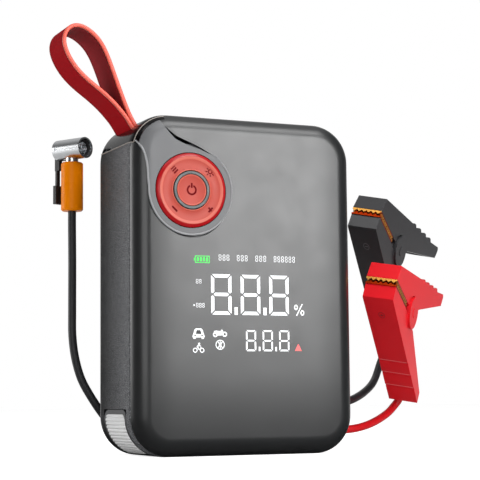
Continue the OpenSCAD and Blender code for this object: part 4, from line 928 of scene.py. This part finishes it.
# The motorcycle, the cyclist and the ball.
white += [part for x, z in ((-20.1, 67.1), (-14.4, 67.3)) for part in hoop(x, z, 0.75, 1.45, steps=12)]
white.append([(-20.3, 67.6), (-18.6, 66.6), (-16.2, 66.7), (-15.0, 67.9), (-15.6, 69.6), (-16.3, 69.9),
              (-16.9, 69.0),
              (-18.2, 69.1), (-19.6, 69.3), (-20.9, 69.0)])
white += [part for x in (-32.2, -28.1) for part in hoop(x, 58.4, 0.9, 1.35, steps=12)]
white += [arc((-29.8, 62.0), 0.6, 0, 330, 11), bar(-30.5, 60.8, 1.9, 0.7, 50),
          bar(-29.5, 60.9, 1.6, 0.45, -25),
          bar(-30.4, 59.5, 2.0, 0.6, -50), bar(-29.0, 59.4, 1.7, 0.45, 65)]
white += hoop(-17.2, 61.45, 2.3, 2.75) + hoop(-19.6, 61.45, 1.7, 2.1, -60, 60) + hoop(-14.8, 61.45, 1.7, 2.1,
                                                                                      120, 240)
white += [bar(-17.2, 61.45, 1.2, 0.4), bar(-17.2, 61.45, 4.4, 0.4, 90)]
car = [(-3.3, -0.6), (-2.4, 2.2), (-1.7, 2.9), (1.7, 2.9), (2.4, 2.2), (3.3, -0.6), (3.6, -1.4), (3.3, -2.2),
       (2.9, -2.8),
       (1.9, -2.8), (1.6, -2.0), (-1.6, -2.0), (-1.9, -2.8), (-2.9, -2.8), (-3.5, -1.9), (-3.6, -1.3)]
white.append([(-30.15 + x, 67.45 + z) for x, z in reversed(car)])
lit("display_marks", white, white_glow)
lit("battery_outline",
    [bar(-27.6, 110.55, 8.8, 0.45), bar(-27.6, 106.95, 8.8, 0.45), bar(-31.8, 108.75, 0.45, 3.15),
                        bar(-23.4, 108.75, 0.45, 3.15), bar(-32.4, 108.75, 0.6, 1.5)]
    + [bar(-30.3 + 1.85 * i, 108.75, 1.2, 2.3) for i in range(4)], green_glow)
lit("warning_triangle", [[(29, 58.2), (33.3, 58.2), (31.3, 62.1), (31.0, 62.1)]], red_glow)
glass = plates("car_windows", [[(-31.9, 67.3), (-28.4, 67.3), (-29.0, 69.5), (-31.3, 69.5)]]
               + [arc((x, 66.45), 0.55, 0, 330, 11) for x in (-32.25, -28.05)], -32.05, -31.9)
glass.data.materials.append(grey_glow)
seat(glass, "pack", "lens")

# Torch -----------------------------------------------------------------------------------
# A corner torch: a ribbed clear polycarbonate lens in a black frame, over a bright reflector
# and a small white board with three LEDs.


def corner_patch(name, y0, y1, a0, a1, round_r, inner, outer, steps, rib=0):
    """A curved plate over the lower corner, its corners rounded, with a rib every rib steps."""
    rings = []
    for i in range(steps + 1):
        a = a0 + (a1 - a0) * i / steps
        end = min(a - a0, a1 - a) * math.radians(22)
        back = round_r - math.sqrt(max(0, round_r ** 2 - max(0, round_r - end) ** 2))
        r = outer - (0.55 * abs(2 * ((i % rib) / rib) - 1) ** 2.5 if rib else 0)
        c, s = math.cos(math.radians(a)), math.sin(math.radians(a))
        rings.append([(-case_x + q * c, y, case_z[0] + q * s) for q, y in (
            (r, y0 + back), (r, y1 - back), (inner, y1 - back), (inner, y0 + back))])
    return loft(name, rings)


lens_piece = corner_patch("torch_lens", -16.4, 14.2, 175.6, 248.4, 4, 19.6, 22.2, 104, 8)
# Polycarbonate, clear, over the bright reflector: coloured near white as painted light, standing in for the
# reflector seen through it, with a dark line in each groove.
lens_painted_white = surface("ribbed polycarbonate painted white", "#ffffff", 0.16, mottle=0.04, patch=3, grain=1.2,
                               depth=0.01,
                               transmission_weight=0.1, ior=1.58)
lens_piece.data.materials.append(lens_painted_white)
seat(lens_piece, "pack", "lens", "lamp_lens")
frame_piece = corner_patch("torch_frame", -18.9, 16.9, 169.4, 254.6, 6, 19.1, 21.95, 60)
carve(frame_piece, corner_patch("lens room", -16.5, 14.3, 175.4, 248.6, 4, 15, 26, 60))
# Polycarbonate, black, finely blasted: a dark satin grey.
blasted_black = surface("blasted black polycarbonate", "#3c3d3f", 0.38, mottle=0.05, patch=6, grain=0.4,
                        depth=0.008)
frame_piece.data.materials.append(blasted_black)
# The frame's eased edges take the dark edge colour: painted shade, a dark line round the lens.
frame_piece.data.materials.append(shaded_edge_leather)
ease(frame_piece, 0.35).material = 1
seat(frame_piece, "pack", "gloss_black", "lamp_bezel")
# Vacuum-metallised reflector: a soft mirror.
metallised = surface("metallised reflector", "#e8eaee", 0.2, metallic=1, mottle=0.03, grain=1.0, depth=0.02)
dress("lamp_reflector", metallised, 0.15)
dress("lamp_board", opal_acrylic, 0.1)

# Charging ports and flap ------------------------------------------------------------------
# Two nickel-plated USB shells behind a soft-touch flap that turns on a steel pin.

# Nickel plate over drawn steel: pale, slightly yellow metal with draw lines.
nickel = surface("nickel plated shell", "#c4c2ba", 0.25, metallic=1, mottle=0.06, patch=4, grain=0.25,
                 depth=0.006)
# Soft-touch lacquer on ABS: nearly black and velvety.
soft_touch = surface("soft-touch lacquered ABS", "#2a2b2e", 0.6, mottle=0.08, grain=0.4, depth=0.01)
dress("usb_ports", nickel, 0.1)
dress("port_flap", soft_touch, 0.2)
dress("flap_pin", zinc_steel, 0.1)

# Power ----------------------------------------------------------------------------------
# Three lithium pouches stacked in a moulded tray, with the main board screwed behind them.

# Aluminium-laminate pouch foil: dull silver, lightly creased.
pouch_foil = surface("laminated pouch foil", "#8e959c", 0.35, metallic=0.8, mottle=0.06, patch=14, grain=6,
                     depth=0.15)
# Polycarbonate tray, black, unpolished.
tray_pc = surface("moulded polycarbonate tray", "#303236", 0.5, mottle=0.08, grain=0.5, depth=0.015)
dress("battery_cells", pouch_foil, 0.8)
dress("battery_tray", tray_pc, 0.2)
dress("main_board", solder_mask, 0.1)

# Compressor -------------------------------------------------------------------------------
# A small motor drives a crank gear and a piston in an aluminium cylinder. It is the pump
# that fills the air hose.

# Drawn steel motor can, zinc plated: grey with fine lines.
motor_steel = surface("plated motor can", "#9a9da1", 0.32, metallic=1, mottle=0.06, patch=6, grain=0.3,
                      depth=0.008)
# Sintered brass pinion: warm metal, finely porous.
sintered_brass = surface("sintered brass", "#b98f3e", 0.4, metallic=1, mottle=0.1, patch=2, grain=0.3,
                         depth=0.03)
# Acetal gear: ivory white, waxy.
acetal = surface("moulded acetal", "#dcd9cf", 0.36, mottle=0.03, grain=0.8, depth=0.01)
# Die-cast aluminium: pale grey with a slightly rough cast skin.
die_cast = surface("die-cast aluminium", "#a2a5a9", 0.45, metallic=1, mottle=0.08, patch=5, grain=0.5,
                   depth=0.03)
for node, finish in (("compressor_motor", motor_steel), ("motor_pinion", sintered_brass),
                     ("crank_gear", acetal),
                     ("gearbox_frame", die_cast), ("piston_rod", die_cast), ("cylinder", die_cast),
                     ("cylinder_head", die_cast)):
    dress(node, finish, 0.12)

# Clamps -----------------------------------------------------------------------------------
# Each clamp is two ribbed ABS arms on a steel pin, held shut by a torsion spring and lined
# with saw-toothed copper plates. One is red and one black.

# ABS, moulded and polished: bright red with clear highlights.
red_abs = surface("red moulded ABS", "#dd1f28", 0.3, mottle=0.02, patch=12, rub=0.01, grain=0.7, depth=0.002,
                  specular_ior_level=0.1)
# The same in black, scuffed a little by handling.
black_abs = surface("black moulded ABS", "#303032", 0.32, mottle=0.04, patch=12, rub=0.01, grain=0.7,
                    depth=0.002)
# Copper plate over stamped steel: orange-gold with brighter high spots.
copper_plate = surface("copper plated steel", "#ffb85a", 0.5, metallic=1, mottle=0.12, patch=2.5, grain=0.4,
                       depth=0.004)
# Behind the teeth, and along the lower jaw's front, the copper is painted darker as shade in the gap between
# the arms: a dark orange red.
shaded_copper = surface("copper with painted shade", "#b8380c", 0.45, metallic=1, mottle=0.3, patch=2, grain=0.4,
                        depth=0.006)
# Spring steel wire, drawn and oiled: dark grey metal.
spring_steel = surface("drawn spring steel", "#80848a", 0.3, metallic=1, mottle=0.1, patch=2, grain=0.2,
                       depth=0.006)
# Paler copies of the arms' ABS. On the grip grooves' lips and the cap's fine ring the paleness is painted
# highlight, the light along those edges; the black clamp's sign is drawn in it too.
paler_red_abs = surface("paler red ABS", "#f0777a", 0.35, mottle=0.05, patch=4, grain=0.6, depth=0.004)
paler_black_abs = surface("paler black ABS", "#5f5f62", 0.35, mottle=0.05, patch=4, grain=0.6, depth=0.004)
# The red badge stands in its own fine groove and reads darker than the arm.
shaded_red = surface("red ABS in a groove", "#5c050b", 0.5, mottle=0.05, patch=4, grain=0.6, depth=0.004)
clamps = {"red": ((90.8, -18.2, 89.6), (-10.3, -28, -129.3)),
          "black": ((100.1, 16.8, 135.8), (-12.9, -32.6, -131.4))}
pivot_a, pivot_b = -47, 20


def clamp_frame(side):
    """The matrix that takes a clamp's own frame to where it lies."""
    spot, turns = clamps[side]
    return Matrix.Translation(mm(*spot)) @ Euler([math.radians(a) for a in turns], "XYZ").to_matrix().to_4x4()


def held(name, outlines, side, p0, p1, view="side"):
    """Outlines in a clamp's own frame made solid from p0 to p1: side views, front views of the
    jaws, or views of the lower arm's outer face from below."""
    piece = plates(name, outlines, p0, p1)
    into_place = clamp_frame(side)
    if view == "front":
        into_place = into_place @ Matrix(((0, 1, 0, 0), (1, 0, 0, 0), (0, 0, 1, 0), (0, 0, 0, 1)))
    if view == "below":
        slope = math.atan(0.07105)
        into_place = into_place @ Matrix.Translation(mm(-1, 0, 0.3)) @ Matrix.Rotation(-slope, 4,
                                                                                       "Y") @ Matrix(
            ((1, 0, 0, 0), (0, 0, -1, 0), (0, 1, 0, 0), (0, 0, 0, 1)))
    piece.data.transform(into_place)
    tidy(piece.data)
    return piece


def over_jaw(a, height, low):
    """A point at a height over the lower jaw's face, or under the upper one's."""
    return a, 9.2 + (1 - a) * 0.147 + (height if low else 4.25 - height)


for side, finish, paler, marked in (("red", red_abs, paler_red_abs, shaded_red),
                                     ("black", black_abs, paler_black_abs, paler_black_abs)):
    for arm in ("_lower_arm", "_upper_arm"):
        dress(side + arm, finish, 0.3)
    for jaw, low in (("_lower_jaw", True), ("_upper_jaw", False)):
        tip = 1.7 if low else 2.7
        flat = [over_jaw(a, h, low) for a, h in ((tip, 0.03), (tip, 0.9), (-29.5, 0.9), (-29.5, 0.03))]
        teeth = [[over_jaw(a - 3 * i - 1.5 * low, h, low) for a, h in ((0.9, 0.9), (-2.1, 0.9), (-0.6, 2.5))]
                 for i in range(10)]
        front = [[(p + 3.1 * i + 1.5 * low, over_jaw(tip, h, low)[1]) for p,
                  h in ((-9.5, 0.9), (-6.4, 0.9), (-7.95, 2.3))]
                 for i in range(6 - low)]
        front.append([(p, over_jaw(tip, h, low)[1]) for p,
                      h in ((-9.55, 0.0), (9.55, 0.0), (9.55, 0.95), (-9.55, 0.95))])
        for name, outlines, p0, p1, view, finish_of in (
                ("plate", [flat], -9.5, 9.5, "side", shaded_copper),
                ("near_teeth", teeth, 8.4, 9.55, "side", copper_plate),
                ("far_teeth", teeth, -9.55, -8.4, "side", copper_plate),
                ("front_teeth", front, tip - 0.9, tip + 0.05, "front",
                 shaded_copper if low else copper_plate)):
            piece = held(side + jaw + "_" + name, outlines, side, p0, p1, view)
            piece.data.materials.append(finish_of)
            seat(piece, "pack" if low else side + "_upper", "copper_plate",
                 *([side + jaw] if name == "plate" else []))
    dress(side + "_pivot_pin", zinc_steel, 0.2)
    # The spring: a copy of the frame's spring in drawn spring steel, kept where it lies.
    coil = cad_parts[side + "_spring"]
    wire_spring = bpy.data.objects.new(side + "_spring_wire", coil.data.copy())
    bpy.context.collection.objects.link(wire_spring)
    wire_spring.matrix_world = coil.matrix_world.copy()
    wire_spring.data.materials.clear()
    wire_spring.data.materials.append(spring_steel)
    if "custom_normal" in wire_spring.data.attributes:
        wire_spring.data.attributes.remove(wire_spring.data.attributes["custom_normal"])
    wire_spring.data.shade_smooth()
    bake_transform(wire_spring)
    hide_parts(side + "_spring")
    # Moulded caps hide the pin's ends, each with a fine ring.
    for name, discs, p0, p1 in (("cap", [arc((pivot_a, pivot_b), 3.1, 0, 350, 35)], 10.85, 11.2),
                                ("cap_back", [arc((pivot_a, pivot_b), 3.1, 0, 350, 35)], -11.2, -10.85)):
        cap = held(side + "_pin_" + name, discs, side, p0, p1)
        cap.data.materials.append(finish)
        seat(cap, "pack", side + "_plastic")
    lines = hoop(pivot_a, pivot_b, 2.2, 2.45)
    ring_line = held(side + "_cap_line", lines, side, -11.25, -11.1)
    ring_line.data.materials.append(paler)
    seat(ring_line, "pack", side + "_plastic")
    # On the lower arm's outer face: an oval badge with the clamp's sign, and the pale lips of the
    # grip grooves, their paleness painted highlight.
    sign = [[(-16.5 + (x + 16.5) * 1.3, z * 0.85) for x, z in part] for part in hoop(-16.5, 0, 2.0, 2.3)]
    sign += [bar(-16.5, 0, 0.5, 2.2)] + ([bar(-16.5, 0, 2.2, 0.5)] if side == "red" else [])
    badge = held(side + "_badge", sign, side, -0.06, 0.12, "below")
    badge.data.materials.append(marked)
    seat(badge, "pack", side + "_plastic")
    lips = held(side + "_grip_lips", [bar(grip + 1.5, 0, 0.5, 17.8) for grip in (-68, -82, -97)], side,
                -0.15, 0.3, "below")
    lips.data.materials.append(paler)
    seat(lips, "pack", side + "_plastic")

# Studio -----------------------------------------------------------------------------------
# A white table in a white room. A tall softbox stands to the front right, with a wide one above
# it, a weak fill at the front left, a small one overhead and one behind on the left.

bpy.context.scene.view_settings.view_transform = "Standard"
floor = block("table", (-3000, -3000, -20), (3000, 3000, 0))
table_paint = bpy.data.materials.new("matt white table paint")
table_paint.use_nodes = True
out = table_paint.node_tree.nodes["Material Output"]
shader = table_paint.node_tree.nodes["Principled BSDF"]
shader.inputs["Roughness"].default_value = 0.9
shader.inputs["Specular IOR Level"].default_value = 0.1
path = add(table_paint, "ShaderNodeLightPath")
seen = add(table_paint, "ShaderNodeMath",
           {0: path.outputs["Is Camera Ray"], 1: path.outputs["Is Transmission Ray"]},
           operation="MAXIMUM")
# Behind the pack the table is as bright to a mirror as to the eye; in front of it is the dark of the room.
spot = add(table_paint, "ShaderNodeSeparateXYZ",
           {0: add(table_paint, "ShaderNodeNewGeometry").outputs["Position"]})
behind = add(table_paint, "ShaderNodeMapRange", {0: spot.outputs["Y"], 1: 0.02, 2: 0.3, 3: 0.0, 4: 1.0})
mirrored = add(table_paint, "ShaderNodeMath", {0: path.outputs["Is Glossy Ray"], 1: behind.outputs[0]},
               operation="MULTIPLY")
dimmer = add(table_paint, "ShaderNodeMath", {0: mirrored.outputs[0], 1: 0.4}, operation="MULTIPLY")
seen = add(table_paint, "ShaderNodeMath", {0: seen.outputs[0], 1: dimmer.outputs[0]}, operation="MAXIMUM")
ahead_dark = add(table_paint, "ShaderNodeMath", {0: path.outputs["Is Glossy Ray"], 1: mirrored.outputs[0]},
                 operation="SUBTRACT")
paint = add(table_paint, "ShaderNodeMix",
            {0: ahead_dark.outputs[0], 6: colour("#e6e6e6"), 7: colour("#2a2a2a")},
            data_type="RGBA")
table_paint.node_tree.links.new(paint.outputs[2], shader.inputs["Base Color"])
glow_white = add(table_paint, "ShaderNodeEmission", {"Color": (1, 1, 1, 1), "Strength": 0.84})
both = add(table_paint, "ShaderNodeAddShader", {0: shader.outputs[0], 1: glow_white.outputs[0]})
shown = add(table_paint, "ShaderNodeMixShader",
            {0: seen.outputs[0], 1: shader.outputs[0], 2: both.outputs[0]})
table_paint.node_tree.links.new(shown.outputs[0], out.inputs["Surface"])
floor.data.materials.append(table_paint)

room = bpy.data.worlds.new("white room")
room.use_nodes = True
bpy.context.scene.world = room
out = room.node_tree.nodes["World Output"]
path = add(room, "ShaderNodeLightPath")
way = add(room, "ShaderNodeSeparateXYZ", {0: add(room, "ShaderNodeTexCoord").outputs["Generated"]})
behind = add(room, "ShaderNodeMapRange", {0: way.outputs["Y"], 1: 0.35, 2: 0.7, 3: 0.04, 4: 0.5})
mirror = add(room, "ShaderNodeMath",
             {0: path.outputs["Is Glossy Ray"], 1: path.outputs["Is Transmission Ray"]},
             operation="MAXIMUM")
ceiling = add(room, "ShaderNodeMapRange", {0: way.outputs["Z"], 1: 0.6, 2: 0.95, 3: 0.0, 4: 0.7})
behind = add(room, "ShaderNodeMath", {0: behind.outputs[0], 1: ceiling.outputs[0]}, operation="MAXIMUM")
light = add(room, "ShaderNodeMix", {0: mirror.outputs[0], 2: 0.16, 3: behind.outputs[0]})
strength = add(room, "ShaderNodeMix", {0: path.outputs["Is Camera Ray"], 2: light.outputs[0], 3: 1.0})
sky = add(room, "ShaderNodeBackground", {"Color": (1, 1, 1, 1), "Strength": strength.outputs[0]})
room.node_tree.links.new(sky.outputs[0], out.inputs["Surface"])


def softbox(name, spot, target, width, height, power):
    """A soft rectangular light at a spot in mm, aimed at a target."""
    lamp = bpy.data.lights.new(name, "AREA")
    lamp.shape = "RECTANGLE"
    lamp.size = width / 1000
    lamp.size_y = height / 1000
    lamp.energy = power
    holder = bpy.data.objects.new(name, lamp)
    holder.location = mm(*spot)
    holder.rotation_euler = (mm(*target) - mm(*spot)).to_track_quat("-Z", "Y").to_euler()
    bpy.context.collection.objects.link(holder)


softbox("front softbox", (480, -1000, 412), (0, -30, 120), 420, 690, 8.2)
softbox("fill softbox", (-520, -900, 260), (-40, 0, 110), 600, 600, 2.4)
softbox("overhead softbox", (-510, -230, 1150), (60, 0, 120), 320, 320, 1.1)
softbox("upper softbox", (300, -700, 1150), (0, 0, 150), 900, 600, 8.5)
softbox("left softbox", (-700, 450, 250), (-60, 0, 100), 400, 400, 2)
